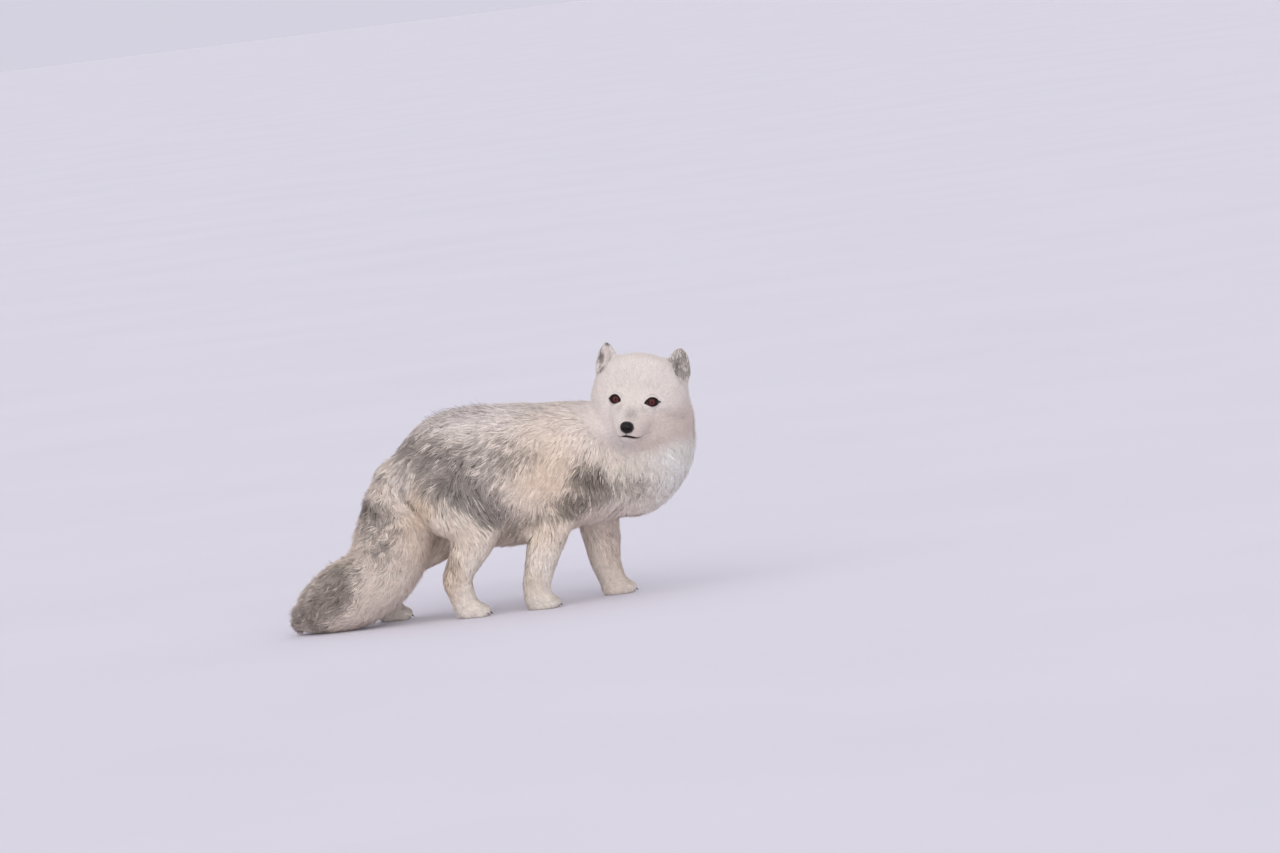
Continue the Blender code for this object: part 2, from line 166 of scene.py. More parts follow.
def head_frame():
    """The origin of the head's frame, in metres, and its three axes as rows."""
    left_eye, right_eye = node_middle("eye_left"), node_middle("eye_right")
    middle = (left_eye + right_eye) / 2
    left = unit(left_eye - right_eye)
    to_nose = unit(node_middle("nose") - middle)
    above = np.cross(to_nose, left)
    forward = to_nose * math.cos(NOSE_BELOW_EYES) + above * math.sin(NOSE_BELOW_EYES)
    axes = np.array([forward, left, np.cross(forward, left)])
    return middle - forward * EYE_FORWARD * MM, axes


HEAD_ORIGIN, HEAD_AXES = head_frame()


def to_head(points):
    """Points in metres, in the head's frame in millimetres."""
    return (np.asarray(points) - HEAD_ORIGIN) @ HEAD_AXES.T / MM


def from_head(points):
    """Points in the head's frame in millimetres, in metres."""
    return HEAD_ORIGIN + np.asarray(points, float) @ HEAD_AXES * MM


NOSE_AT = to_head(node_middle("nose"))
EYES = {side: to_head(node_middle("eye_" + side)) for side in ("left", "right")}
EYE_RADIUS = float(np.ptp([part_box("eye_left")[0].z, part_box("eye_left")[1].z]) / 2 / MM)

# ---------------------------------------------------------------- the outline and the skin

GROW = 0.5 * MM  # the solids grow by this much, which closes the cuts between them
GRID = 2.8 * MM  # the grid on which they are fused
CREEPS = 8  # small steps in which the skin goes in from the outline
CLOSEST = 0.34  # the most that the skin goes in, as a part of the thickness there

REGIONS = ("head", "ear", "neck", "trunk", "foreleg", "hindleg", "paw", "tail_root", "tail", "tail_end")
NUMBER = {name: i for i, name in enumerate(REGIONS)}


def region_of(node):
    """The region of the coat that a node belongs to."""
    for name in ("ear", "foreleg", "hindleg"):
        if node.startswith(name + "_"):
            return name
    if "paw" in node:
        return "paw"
    if node in REGIONS:
        return node
    return "head"


LEG = ("foreleg", "hindleg", "paw")
TAIL = ("tail_root", "tail", "tail_end")
PAWS = {"foreleg": "forepaw", "hindleg": "hindpaw"}


def on(region, *names):
    """True where the region is one of those named."""
    return np.isin(region, [NUMBER[name] for name in names])


def on_ear(region, head, side):
    """True on the ear of one side."""
    return on(region, "ear") & (head[:, 1] * SIDES[side] > 0)


def on_limb(points, region, leg, side, margin):
    """True on a leg and its paw, within margin mm of the boxes of their solids."""
    inside = np.zeros(len(points), bool)
    for node in (leg + "_" + side, PAWS[leg] + "_" + side):
        low, high = (np.array(corner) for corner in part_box(node))
        inside |= np.all((points > low - margin * MM) & (points < high + margin * MM), axis=1)
    return inside & on(region, leg, "paw")


def welded(mesh, grow):
    """The points and triangles of a node, welded, with its points moved out by grow."""
    shape = bmesh.new()
    shape.from_mesh(mesh)
    bmesh.ops.remove_doubles(shape, verts=shape.verts, dist=1e-6)
    bmesh.ops.triangulate(shape, faces=shape.faces)
    shape.normal_update()
    shape.verts.index_update()
    points = np.array([v.co + v.normal * grow for v in shape.verts])
    triangles = np.array([[v.index for v in f.verts] for f in shape.faces])
    shape.free()
    return points, triangles


def fused_outline():
    """All the solids fused into one closed mesh: its points and its four-sided faces."""
    points, triangles = stacked(welded(node.data, GROW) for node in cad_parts.values())
    mesh = bpy.data.meshes.new("outline")
    mesh.from_pydata(points, [], triangles.tolist())
    shape = bpy.data.objects.new("outline", mesh)
    bpy.context.scene.collection.objects.link(shape)
    remesh = shape.modifiers.new("fuse", "REMESH")
    remesh.mode = "VOXEL"
    remesh.voxel_size = GRID
    fused = bpy.data.meshes.new_from_object(shape.evaluated_get(bpy.context.evaluated_depsgraph_get()))
    points = np.zeros(len(fused.vertices) * 3)
    fused.vertices.foreach_get("co", points)
    quads = np.array([list(p.vertices) for p in fused.polygons])
    bpy.data.objects.remove(shape)
    bpy.data.meshes.remove(mesh)
    bpy.data.meshes.remove(fused)
    return points.reshape(-1, 3), quads


class Net:
    """The points and faces of the skin, with its edges and triangles."""

    def __init__(self, points, quads):
        self.points = points
        self.quads = quads
        self.triangles = np.concatenate([quads[:, (0, 1, 2)], quads[:, (0, 2, 3)]])
        edges = np.concatenate([quads[:, (i, (i + 1) % 4)] for i in range(4)])
        self.edges = np.unique(np.sort(edges, axis=1), axis=0)
        self.degree = np.bincount(self.edges.ravel(), minlength=len(points))

    def around(self, values):
        """The mean of each point's neighbours."""
        values = np.asarray(values, float)
        flat = values.reshape(len(values), -1)
        start, end = self.edges.T
        total = np.empty_like(flat)
        for i, column in enumerate(flat.T):
            total[:, i] = np.bincount(start, column[end], len(flat))
            total[:, i] += np.bincount(end, column[start], len(flat))
        return (total / self.degree[:, None]).reshape(values.shape)

    def spread(self, values, times, share=0.5):
        """Values smoothed over the mesh."""
        for _ in range(times):
            values = mixed(values, self.around(values), share)
        return values

    def drawn(self, points, share):
        """The points drawn towards the mean of their neighbours, or pushed from it where share is below 0."""
        return points + (self.around(points) - points) * share

    def normals(self, points):
        """Unit normals at the points."""
        a, b, c = points[self.triangles].transpose(1, 0, 2)
        flat = np.cross(b - a, c - a)
        total = np.zeros_like(points)
        for corner in self.triangles.T:
            for axis in range(3):
                total[:, axis] += np.bincount(corner, flat[:, axis], len(points))
        return unit(total)

    def tree(self, points):
        return BVHTree.FromPolygons(points.tolist(), self.triangles.tolist())


def node_numbers(points):
    """The region's number at each point: that of the nearest node."""
    parts = [welded(node.data, 0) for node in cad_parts.values()]
    numbers = [NUMBER[region_of(name)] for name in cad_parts]
    owner = np.repeat(numbers, [len(faces) for _, faces in parts])
    corners, triangles = stacked(parts)
    tree = BVHTree.FromPolygons(corners.tolist(), triangles.tolist())
    return owner[[tree.find_nearest(p)[2] for p in points.tolist()]]


def thickness(net, points, normals):
    """How thick the body is behind each point, in metres and up to far."""
    tree = net.tree(points)
    far, start = 0.3, 2 * MM  # each ray starts a little inside, so as not to meet its own face
    found = np.full(len(points), far)
    for i, (place, normal) in enumerate(zip(points, normals)):
        hit = tree.ray_cast((place - normal * start).tolist(), (-normal).tolist(), far)
        if hit[3] is not None:
            found[i] = hit[3] + start
    return found


class Line:
    """The middle line of a long part, worked out from its points: slices across a direction."""

    fewest = 8  # points that a slice has to have more than
    reach = 12 * MM  # how far ahead and behind the line's direction is taken

    def __init__(self, points, direction, slice_width=10 * MM):
        self.direction = np.array(direction, float)
        along = points @ self.direction
        slices = np.arange(along.min(), along.max() + slice_width, slice_width)
        which = np.digitize(along, slices)
        kept = [i for i in np.unique(which) if (which == i).sum() > self.fewest]
        inside = [which == i for i in kept]
        self.at = np.array([along[here].mean() for here in inside])
        self.middle = np.array([(points[here].min(0) + points[here].max(0)) / 2 for here in inside])

    def spot(self, along):
        """The line's middle at distances along its direction."""
        return by_tables(along, self.at, self.middle.T)

    def nearest(self, points):
        """The middle of the slice that each point is in, and the direction of the line there."""
        along = points @ self.direction
        return self.spot(along), unit(self.spot(along + self.reach) - self.spot(along - self.reach))


# How deep the coat is, and how long and wide its tufts are, in mm. The head and the legs go by tables below.
COAT = {
    "trunk": (11.0, 30.0, 1.5),
    "neck": (12.0, 27.0, 1.25),
    "tail_root": (12.0, 23.0, 1.3),
    "tail": (15.0, 22.0, 1.25),
    "tail_end": (14.0, 23.0, 1.25),
    "ear": (1.6, 9.5, 0.7),
    "paw": (2.4, 7.0, 1.1),
}
# Depth, length and width on the head by the distance from the nose, and on the legs by the height.
HEAD_STEPS = (10, 40, 70, 100, 130, 160)
HEAD_SIZES = (
    (1.5, 2.2, 4.0, 7.0, 10.0, 12.0),
    (3.6, 7.0, 13.0, 20.0, 27.0, 30.0),
    (0.55, 0.65, 0.85, 1.1, 1.4, 1.5),
)
CROWN = (20.0, 45.0)  # mm above the eyes over which the coat gets shorter
CROWN_SHARE = 0.62
LEG_STEPS = (20, 60, 110, 160)
LEG_SIZES = ((2.8, 3.8, 6.5, 10.0), (9.0, 14.0, 21.0, 28.0), (0.9, 1.1, 1.3, 1.5))


def coat_sizes(points, region):
    """Depth, length and width of the coat at each point, in mm, as three columns."""
    sizes = np.zeros((len(points), 3))
    for name, size in COAT.items():
        sizes[on(region, name)] = size
    head = to_head(points)
    on_head = by_tables(away_from(head, NOSE_AT), HEAD_STEPS, HEAD_SIZES)
    on_head[:, :2] *= 1 - smooth(head[:, 2], *CROWN)[:, None] * (1 - CROWN_SHARE)
    here = on(region, "head")
    sizes[here] = on_head[here]
    here = on(region, "foreleg", "hindleg")
    sizes[here] = by_tables(points[here, 2] / MM, LEG_STEPS, LEG_SIZES)
    return sizes


# The lie of the coat on body and neck, seen from the side: x and z in mm, then the way it lies.
COMBING = {
    "withers": (130, 285, -1.0, -0.15),
    "back": (20, 295, -1.0, -0.10),
    "loin": (-60, 280, -1.0, -0.30),
    "rump": (-118, 262, -0.80, -0.60),
    "under the tail": (-150, 235, -0.55, -0.85),
    "haunch": (-40, 215, -1.0, -0.45),
    "thigh": (-25, 165, -0.95, -0.40),
    "buttock": (-110, 180, -0.60, -0.80),
    "side": (50, 243, -0.85, -0.50),
    "flank": (44, 187, -0.50, -0.86),
    "low flank": (51, 128, -0.38, -0.92),
    "shoulder": (106, 222, -0.70, -0.72),
    "low shoulder": (113, 164, -0.60, -0.80),
    "neck": (155, 210, -0.35, -0.94),
    "low neck": (165, 143, -0.25, -0.97),
    "breast": (226, 150, 0.28, -0.96),
    "ruff": (285, 180, 0.38, -0.92),
    "nape": (260, 280, -0.75, -0.60),
    "throat": (218, 200, 0.10, -0.99),
    "belly": (0, 88, -0.80, -0.60),
    "groin": (-60, 100, -0.60, -0.80),
}
COMB_REACH = 42.0  # mm within which a stroke of the comb tells


def combed(points):
    """The lie of the coat on body and neck."""
    places = np.array([stroke[:2] for stroke in COMBING.values()], float)
    ways = np.array([stroke[2:] for stroke in COMBING.values()], float)
    side = points[:, (0, 2)] / MM
    away = np.linalg.norm(side[:, None] - places[None], axis=2)
    weight = np.exp(-((away / COMB_REACH) ** 2)) + 1e-6 / (1 + away)
    way = weight @ ways / weight.sum(1, keepdims=True)
    return np.column_stack([way[:, 0], np.zeros(len(points)), way[:, 1]])


HAIR_FROM = (6, 0, -2)  # mm from the nose: the hair of the head lies away from there
PAW_WAY = (0.8, 0, -0.6)
UPPER_LEG = 40 * MM  # above this height the hair of a leg lies backwards a little less
LEG_AHEAD, TAIL_SPLAY = 0.22, 0.25


def lie_of_coat(points, region, lines):
    """The way that the coat lies at each point."""
    way = combed(points)
    head = to_head(points)
    here = on(region, "head")
    way[here] = (unit(head - (NOSE_AT + HAIR_FROM)) @ HEAD_AXES)[here]
    for side, line in lines["ear"].items():
        here = on_ear(region, head, side)
        way[here] = line.nearest(points[here])[1]
    for name, line in lines["leg"].items():
        here = lines["on_leg"][name]
        way[here] = -line.nearest(points[here])[1]
        way[here] += np.array([LEG_AHEAD, 0, 0]) * (points[here, 2:] > UPPER_LEG)
    here = on(region, *TAIL)
    middle, along = lines["tail"].nearest(points[here])
    way[here] = -along + unit(points[here] - middle) * TAIL_SPLAY
    way[on(region, "paw")] = PAW_WAY
    return unit(way)


def in_the_surface(way, normals):
    """The part of each direction that lies in the surface."""
    return unit(way - normals * np.sum(way * normals, axis=1, keepdims=True))


EYE_PARTING = (12.0, 25.5)  # mm from an eye between which the parting of the coat fades
PARTED = 0.35  # how far the hair turns out from the eye


def parted_round_eyes(points, way):
    """The lie of the coat with no hair running into the eyes."""
    head = to_head(points)
    turned = way @ HEAD_AXES.T
    for eye in EYES.values():
        near = 1 - smooth(away_from(head, eye), *EYE_PARTING)
        out = unit(head - eye)
        inward = np.minimum(np.sum(turned * out, axis=1), 0) - PARTED
        turned = turned - out * (inward * near)[:, None]
    return unit(turned @ HEAD_AXES)


EAR_BASE, EAR_TIP = (-54.0, 51.0, 12.0), (-62.0, 53.0, 67.0)  # of the left ear, in the head's frame
EAR_FACING = (0.87, 0.5, 0.0)  # the way its hollow side faces
EAR_HOLLOW = 6.0  # mm
EAR_HALF_WIDTH = 15.0
BESIDE_EAR = (-30.0, 50.0, 36.0)  # where the crown falls away in front of the ear
BESIDE_EAR_DEPTH, BESIDE_EAR_REACH = 4.0, 13.0
EAR_CREASE = ((-33.0, 49.0, 34.0), (-51.0, 60.0, 19.0))  # the ends of the fold in front of the left ear
TAIL_DENT = (-217.0, 117.0)  # above the brush, where its end turns along the ground
TAIL_DENT_DEPTH, TAIL_DENT_REACH = 11.0, 20.0


def place_on_ear(head, sign):
    """How far up an ear each point is, from 0 to 1, and how far across it, in mm."""
    base, tip = mirrored(EAR_BASE, sign), mirrored(EAR_TIP, sign)
    along = unit(tip - base)
    across = unit(np.cross(along, mirrored(EAR_FACING, sign)))
    return (head - base) @ along / np.linalg.norm(tip - base), (head - base) @ across


def near_crease(head, close, far):
    """1 within close mm of the fold in front of either ear, falling to 0 at far mm."""
    near = np.zeros(len(head))
    for sign in SIDES.values():
        for share in (0.0, 0.33, 0.67, 1.0):
            spot = mirrored(mixed(*EAR_CREASE, share), sign)
            near = np.maximum(near, 1 - smooth(away_from(head, spot), close, far))
    return near


EAR_LIMIT = 0.4  # the deepest that the hollow may be, as a part of the ear's thickness


def shaped_ears(net, points, region):
    """The outline with the ears hollow in front, the crown lower beside them, and the dent over the brush."""
    head = to_head(points)
    normals = net.normals(points)
    turned = normals @ HEAD_AXES.T
    limit = thickness(net, points, normals) / MM * EAR_LIMIT
    inward = np.zeros(len(points))
    for side, sign in SIDES.items():
        up, across = place_on_ear(head, sign)
        hollow = EAR_HOLLOW * np.clip(1 - (across / EAR_HALF_WIDTH) ** 2, 0, 1)
        hollow *= smooth(turned @ mirrored(EAR_FACING, sign), 0.1, 0.7)
        hollow *= smooth(up, 0.15, 0.45) * (1 - smooth(up, 0.75, 1.0))
        inward += np.minimum(hollow, limit) * on_ear(region, head, side)
        beside = oval(head, mirrored(BESIDE_EAR, sign), BESIDE_EAR_REACH)
        inward += BESIDE_EAR_DEPTH * beside * on(region, "head")
    dent = TAIL_DENT_DEPTH * oval(points[:, (0, 2)] / MM, TAIL_DENT, TAIL_DENT_REACH)
    inward += dent * on(region, *TAIL) * smooth(normals[:, 2] - normals[:, 0], 0.2, 1.0)
    inward = net.spread(inward, 5)
    return points - normals * inward[:, None] * MM


NAPE_BEHIND = (40.0, 60.0)  # mm behind the eyes over which the smoothing of the nape sets in
NAPE_JOINT = 16  # steps over which the joint of head and neck is widened
NAPE_STEPS = 60


def smooth_nape(net, points, region):
    """The outline with no crease where the back of the head meets the neck."""
    joint = net.spread(on(region, "head").astype(float), NAPE_JOINT)
    share = 2 * joint * (1 - joint) * smooth(-to_head(points)[:, 0], *NAPE_BEHIND)
    for _ in range(NAPE_STEPS):
        points = net.drawn(points, share[:, None])
    return points


NEAR_EYE = (1.6, 4.6)  # the most that the depth and length of the coat may be round the eyes, in mm
EYE_THIN = (11.0, 24.0)  # mm from an eye over which that limit fades
SOLE_DEPTH, SOLE_HEIGHT = 1.0, 5.0
CREASE_DEPTH, CREASE_LENGTH = 3.0, 13.0


def fitted_sizes(net, points, region, normals):
    """The coat's sizes, thin round the eyes and under the soles, and never too deep for the body."""
    sizes = coat_sizes(points, region)
    limit = thickness(net, points, normals) / MM * CLOSEST
    flat_sole = (normals[:, 2] < -0.7) & (points[:, 2] < SOLE_HEIGHT * MM) & on(region, "paw")
    sizes[:, 0] = np.minimum(sizes[:, 0], limit)
    sizes[flat_sole, 0] = SOLE_DEPTH
    head = to_head(points)
    for eye in EYES.values():
        near = 1 - smooth(away_from(head, eye), *EYE_THIN)[:, None]
        sizes[:, :2] = mixed(sizes[:, :2], np.minimum(sizes[:, :2], NEAR_EYE), near)
    crease = near_crease(head, 10, 20)
    sizes[:, 0] = mixed(sizes[:, 0], np.minimum(sizes[:, 0], CREASE_DEPTH), crease)
    sizes[:, 1] = np.maximum(sizes[:, 1], CREASE_LENGTH * near_crease(head, 8, 16))
    sizes = net.spread(sizes, 10)
    sizes[:, 0] = np.minimum(sizes[:, 0], limit * 1.15)
    return net.spread(sizes, 4)


ROUNDING = 8  # times that the fused outline is smoothed and swelled back
ROUND_IN, ROUND_OUT = 0.5, -0.53
WAY_STEPS = 30  # times that the lie of the coat is smoothed


def make_skin():
    """The skin's mesh, with the fields that the coat is grown from."""
    points, quads = fused_outline()
    net = Net(points, quads)
    for _ in range(ROUNDING):
        points = net.drawn(net.drawn(points, ROUND_IN), ROUND_OUT)
    region = node_numbers(points)
    points = smooth_nape(net, points, region)
    points = shaped_ears(net, points, region)
    normals = net.normals(points)
    sizes = fitted_sizes(net, points, region, normals)
    head = to_head(points)
    net.lines = body_lines(points, region, head)
    way = lie_of_coat(points, region, net.lines)
    for _ in range(WAY_STEPS):
        way = in_the_surface(net.spread(way, 1, 0.6), normals)
    way = in_the_surface(parted_round_eyes(points, way), normals)
    inner = points
    for _ in range(CREEPS):
        inner = inner - net.normals(inner) * (sizes[:, :1] * MM / CREEPS)
        inner = net.drawn(inner, 0.25)
    crease = near_crease(head, 6, 14)[:, None] * 0.5
    for _ in range(14):
        inner = net.drawn(inner, crease)
    net.region, net.outline, net.normal_out, net.sizes = region, points, normals, sizes
    net.points, net.cover = inner, points - inner
    net.way = in_the_surface(way, net.normals(inner))
    return net


TAIL_DIRECTION = (0.70, 0, 0.71)


def body_lines(points, region, head):
    """The middle lines of ears, legs and tail."""
    lines = {"ear": {}, "leg": {}, "on_leg": {}}
    for side in SIDES:
        lines["ear"][side] = Line(points[on_ear(region, head, side)], HEAD_AXES[2], 6 * MM)
        for leg in PAWS:
            here = on_limb(points, region, leg, side, 2)
            lines["on_leg"][leg + side] = here & on(region, leg)
            lines["leg"][leg + side] = Line(points[here], (0, 0, 1))
    lines["tail"] = Line(points[on(region, *TAIL)], TAIL_DIRECTION, 14 * MM)
    return lines


# ---------------------------------------------------------------- markings and painted shade

HEAD_WHITE = (0.845, 0.77, 0.722)
# warmer, darker hair of the lower face: partly its own tone, partly painted shade on the fox's left cheek,
# turned from the light
CHEEK_TONE_AND_SHADE = (0.77, 0.66, 0.585)
CREAM = (0.90, 0.80, 0.72)
SNOWY = (0.90, 0.825, 0.79)
BRIGHT = (0.95, 0.925, 0.865)
PALE_LEG = (0.89, 0.812, 0.725)
PALE_TAIL = (0.90, 0.785, 0.69)
PEACH = (0.86, 0.70, 0.545)
TAN = (0.62, 0.43, 0.28)
STRAW = (0.79, 0.63, 0.47)
GREY = (0.118, 0.099, 0.088)
DARK = (0.090, 0.068, 0.052)

# Tints: x, z, half-length, half-height, tilt in degrees, strength and colour, seen from either side, in mm.
TINTS = {
    "back": (30, 290, 120, 24, 0, 0.9, (0.79, 0.73, 0.71)),
    "ruff": (270, 195, 56, 85, 0, 1.0, BRIGHT),
    "bib": (195, 175, 42, 48, 0, 0.7, (0.90, 0.82, 0.71)),
    "nape": (165, 270, 30, 30, 0, 0.8, SNOWY),
    "peach flank": (95, 200, 60, 55, 60, 0.8, PEACH),
    # the low flank's warmer, darker tone is partly its own colour and partly painted shade under the body
    "low flank": (60, 120, 70, 30, 0, 0.6, PEACH),
    "thigh": (-70, 130, 50, 45, 0, 0.5, PEACH),
    "hock": (-78, 55, 14, 26, 20, 0.55, TAN),
    "near fore pastern": (46, 45, 16, 22, 0, 0.3, TAN),
    "tail base": (-100, 178, 18, 38, -35, 0.9, STRAW),
    "shank": (-62, 80, 14, 26, 20, 0.5, TAN),
    # partly the far foreleg's own browner colour and partly painted shade on the far side of the body
    "far foreleg": (165, 75, 40, 60, 0, 0.75, (0.70, 0.57, 0.48)),
}
# Dark marks: the same without a colour, with how dark they are. Those on the folds are painted shade in the
# creases behind the elbow and at the root of the tail.
MARKS = {
    "haunch": (-34, 205, 66, 44, -36, 0.97),
    "haunch low": (-4, 162, 38, 28, -40, 0.96),
    "rump streaks": (-80, 250, 56, 34, -25, 0.78),
    "side": (46, 236, 60, 32, -15, 0.60),
    # partly grey-brown underfur and partly painted shade under the body
    "low flank": (50, 128, 50, 30, 0, 0.65),
    # painted shade in the crease behind the elbow
    "fold elbow": (84, 134, 34, 7, 40, 0.85),
    "neck": (153, 185, 25, 38, 8, 1.0),
    "neck low": (120, 156, 40, 25, 25, 0.92),
    "neck front": (188, 160, 34, 36, 10, 0.24),
    "breast": (215, 174, 42, 24, 0, 0.42),
    "rump end": (-154, 209, 23, 26, 15, 0.86),
    "tail edge": (-172, 184, 14, 20, 15, 0.8),
    "tail speckle": (-156, 150, 30, 60, 15, 0.50),
    "tail bend": (-212, 88, 26, 16, 35, 0.6),
    "tail dark": (-227, 70, 27, 22, 35, 1.0),
    "tail low": (-262, 33, 28, 22, 35, 1.0),
    "tail wash": (-244, 48, 54, 40, 35, 0.66),
    "tail tip": (-294, 18, 20, 14, 20, 0.9),
    "tail grey": (-180, 120, 80, 60, 45, 0.26),
    # painted shade in the crease between the tail and the rump
    "fold tail": (-104, 180, 34, 6, -61, 0.85),
    "leg shank": (-62, 88, 13, 24, 20, 0.42),
    "leg front streaks": (44, 96, 12, 50, -10, 0.34),
    "leg far streaks": (158, 90, 16, 50, -10, 0.32),
}
BROWNER = ("fold elbow", "fold tail", "neck", "neck low", "neck front", "breast", "low flank", "tail bend",
           "tail dark", "tail low", "tail tip", "tail wash")


def patch(points, x, z, length, height, tilt):
    """1 in the middle of an oval seen from the side, falling smoothly to 0 outside it."""
    turn = math.radians(tilt)
    across, up = points[:, 0] / MM - x, points[:, 2] / MM - z
    along = (across * math.cos(turn) + up * math.sin(turn)) / length
    over = (up * math.cos(turn) - across * math.sin(turn)) / height
    return np.exp(-((along**2 + over**2) ** 1.15) * 0.9)


MARK_WANDER = 6 * MM  # how far the edges of the marks stray
OFF_PLACE = 0.1  # how much of a mark of the body shows on the brush, and the other way round
LEGS_CLEAR = (0.115, 0.15)  # the heights in metres between which the marks of the body end on the legs


def pale_colour(points, region):
    """The colour of the light hair, with painted shade on the lower face and most of all on its left side."""
    colour = np.empty((len(points), 3))
    colour[:] = CREAM
    head = to_head(points)
    # painted shade with a warmer tone: darker low on the face, most of all on the fox's left side
    low = (smooth(-head[:, 2], 0, 34) * smooth(head[:, 1], -25, 30))[:, None]
    on_head = on(region, "head")
    colour[on_head] = mixed(HEAD_WHITE, CHEEK_TONE_AND_SHADE, low)[on_head]
    colour[on(region, "ear")] = HEAD_WHITE
    colour[on(region, *LEG)] = PALE_LEG
    colour[on(region, *TAIL)] = PALE_TAIL
    return colour


def tinted(points, region, colour):
    """The light hair with its warmer patches, some of them partly painted shade."""
    off_head = ~on(region, "head")[:, None]
    for *place, strength, tint in TINTS.values():
        colour = mixed(colour, tint, patch(points, *place)[:, None] * strength * off_head)
    return colour


def dark_share(points, region):
    """How dark the coat's marks and its painted shade are at each point, and how brown."""
    stray = [blotches(points, 22 * MM, seed) * MARK_WANDER for seed in (11, 12, 13)]
    points = points + np.column_stack(stray)
    share, brown = np.zeros((2, len(points)))
    on_tail, on_leg = on(region, *TAIL), on(region, *LEG)
    on_body = np.where(on_leg, smooth(points[:, 2], *LEGS_CLEAR), 1)
    kept = {
        "leg": on_leg,
        # the marks on the folds are painted shade in creases, kept off the legs
        "fold": ~on_leg,
        "tail": np.where(on_tail, 1, OFF_PLACE),
        "other": np.where(on_tail, OFF_PLACE, on_body),
    }
    for name, (*place, strength) in MARKS.items():
        sort = name.split()[0]
        here = patch(points, *place) * strength * kept[sort if sort in kept else "other"]
        share = 1 - (1 - share) * (1 - here)
        if name in BROWNER:
            brown = np.maximum(brown, here)
    return share * ~on(region, "head", "ear"), brown


# Dark marks on the front of each ear: how far up it from 0 to 1, mm outwards from its middle, half-height,
# half-width in mm, and how dark they are. Then how dark the rest of its front is.
EAR_MARKS = {
    "left": ((0.42, 0.0, 0.34, 6.5, 1.0), (0.14, -6.0, 0.20, 8.0, 1.0), (0.66, 9.0, 0.26, 3.5, 1.0)),
    "right": ((0.50, 10.0, 0.24, 4.0, 1.0), (0.15, 8.0, 0.12, 5.0, 0.8), (0.85, -3.0, 0.12, 6.0, 1.0)),
}
EAR_WASH = {"left": 0.55, "right": 0.20}
BEHIND_EAR = 0.12

# Soft dark ovals on the face: the smudge over the nose, the streak below each eye, which is partly a tear
# line and partly painted shade down the side of the muzzle, painted shade on the brows, the thin dark streaks
# of the left cheek and the dip beside the left ear. Each has its middle and half-sizes in mm, and a strength.
FACE_MARKS = (
    ((32, 1, -13), (11, 9, 9), 0.60),
    # partly a tear line and partly painted shade down the side of the muzzle
    ((20, 16, -8), (9, 4, 6), 0.34),
    ((20, -16, -8), (9, 4, 6), 0.34),
    # painted shade on the brows
    ((-6, 20, 16), (10, 9, 5), 0.08),
    ((-6, -20, 16), (10, 9, 5), 0.08),
    ((4, 34, -12), (12, 12, 3), 0.30),
    ((-6, 46, -20), (12, 12, 3), 0.30),
    ((-18, 58, -26), (12, 12, 3), 0.30),
    (BESIDE_EAR, (8, 8, 8), 0.30),
)


def face_marks(points, normals, region):
    """How dark the face and the ears are at each point, painted shade on the face included."""
    head = to_head(points)
    turned = normals @ HEAD_AXES.T
    share = np.zeros(len(points))
    for middle, radii, strength in FACE_MARKS:
        share += strength * oval(head, middle, radii) * on(region, "head")
    for side, sign in SIDES.items():
        front = smooth(turned @ mirrored(EAR_FACING, sign), 0.0, 0.5)
        up, across = place_on_ear(head, sign)
        marks = np.full(len(points), EAR_WASH[side])
        for height, out, half_height, half_width, strength in EAR_MARKS[side]:
            away = ((up - height) / half_height) ** 2 + ((across * sign - out) / half_width) ** 2
            marks = np.maximum(marks, strength * np.exp(-away))
        share += mixed(BEHIND_EAR, marks, front) * on_ear(region, head, side) * smooth(up, -0.1, 0.1)
    return share


# ---------------------------------------------------------------- materials


def connect(tree, node, inputs):
    """Sets a node's inputs to numbers and colours, or links them to the outputs of other nodes."""
    for name, value in inputs.items():
        if isinstance(value, bpy.types.NodeSocket):
            tree.links.new(value, node.inputs[name])
        else:
            node.inputs[name].default_value = value
    return node


def add_node(tree, kind, inputs):
    """A new shader node of a kind, with its inputs."""
    return connect(tree, tree.nodes.new("ShaderNode" + kind), inputs)


def mixed_colours(tree, share, first, second, blend="MIX"):
    """Two colours mixed or multiplied."""
    node = tree.nodes.new("ShaderNodeMix")
    node.data_type = "RGBA"
    node.blend_type = blend
    return connect(tree, node, {"Factor": share, "A": first, "B": second}).outputs["Result"]


def noise(tree, scale, detail=3.0):
    """A noise over the object, about 0.5."""
    place = add_node(tree, "TexCoord", {}).outputs["Object"]
    return add_node(tree, "TexNoise", {"Scale": scale, "Detail": detail, "Vector": place}).outputs["Fac"]


def ranged(tree, value, low, high):
    """A noise's value stretched from low to high."""
    inputs = {"From Min": 0.3, "From Max": 0.7, "To Min": low, "To Max": high, "Value": value}
    return add_node(tree, "MapRange", inputs).outputs["Result"]


def bump(tree, height, strength, depth):
    """A bump of a depth in mm, for a shader's normal."""
    inputs = {"Strength": strength, "Distance": depth * MM, "Height": height}
    return add_node(tree, "Bump", inputs).outputs["Normal"]


def new_material(name):
    """A node material, its tree and its shader."""
    material = bpy.data.materials.new(name)
    material.use_nodes = True
    return material, material.node_tree, material.node_tree.nodes["Principled BSDF"]


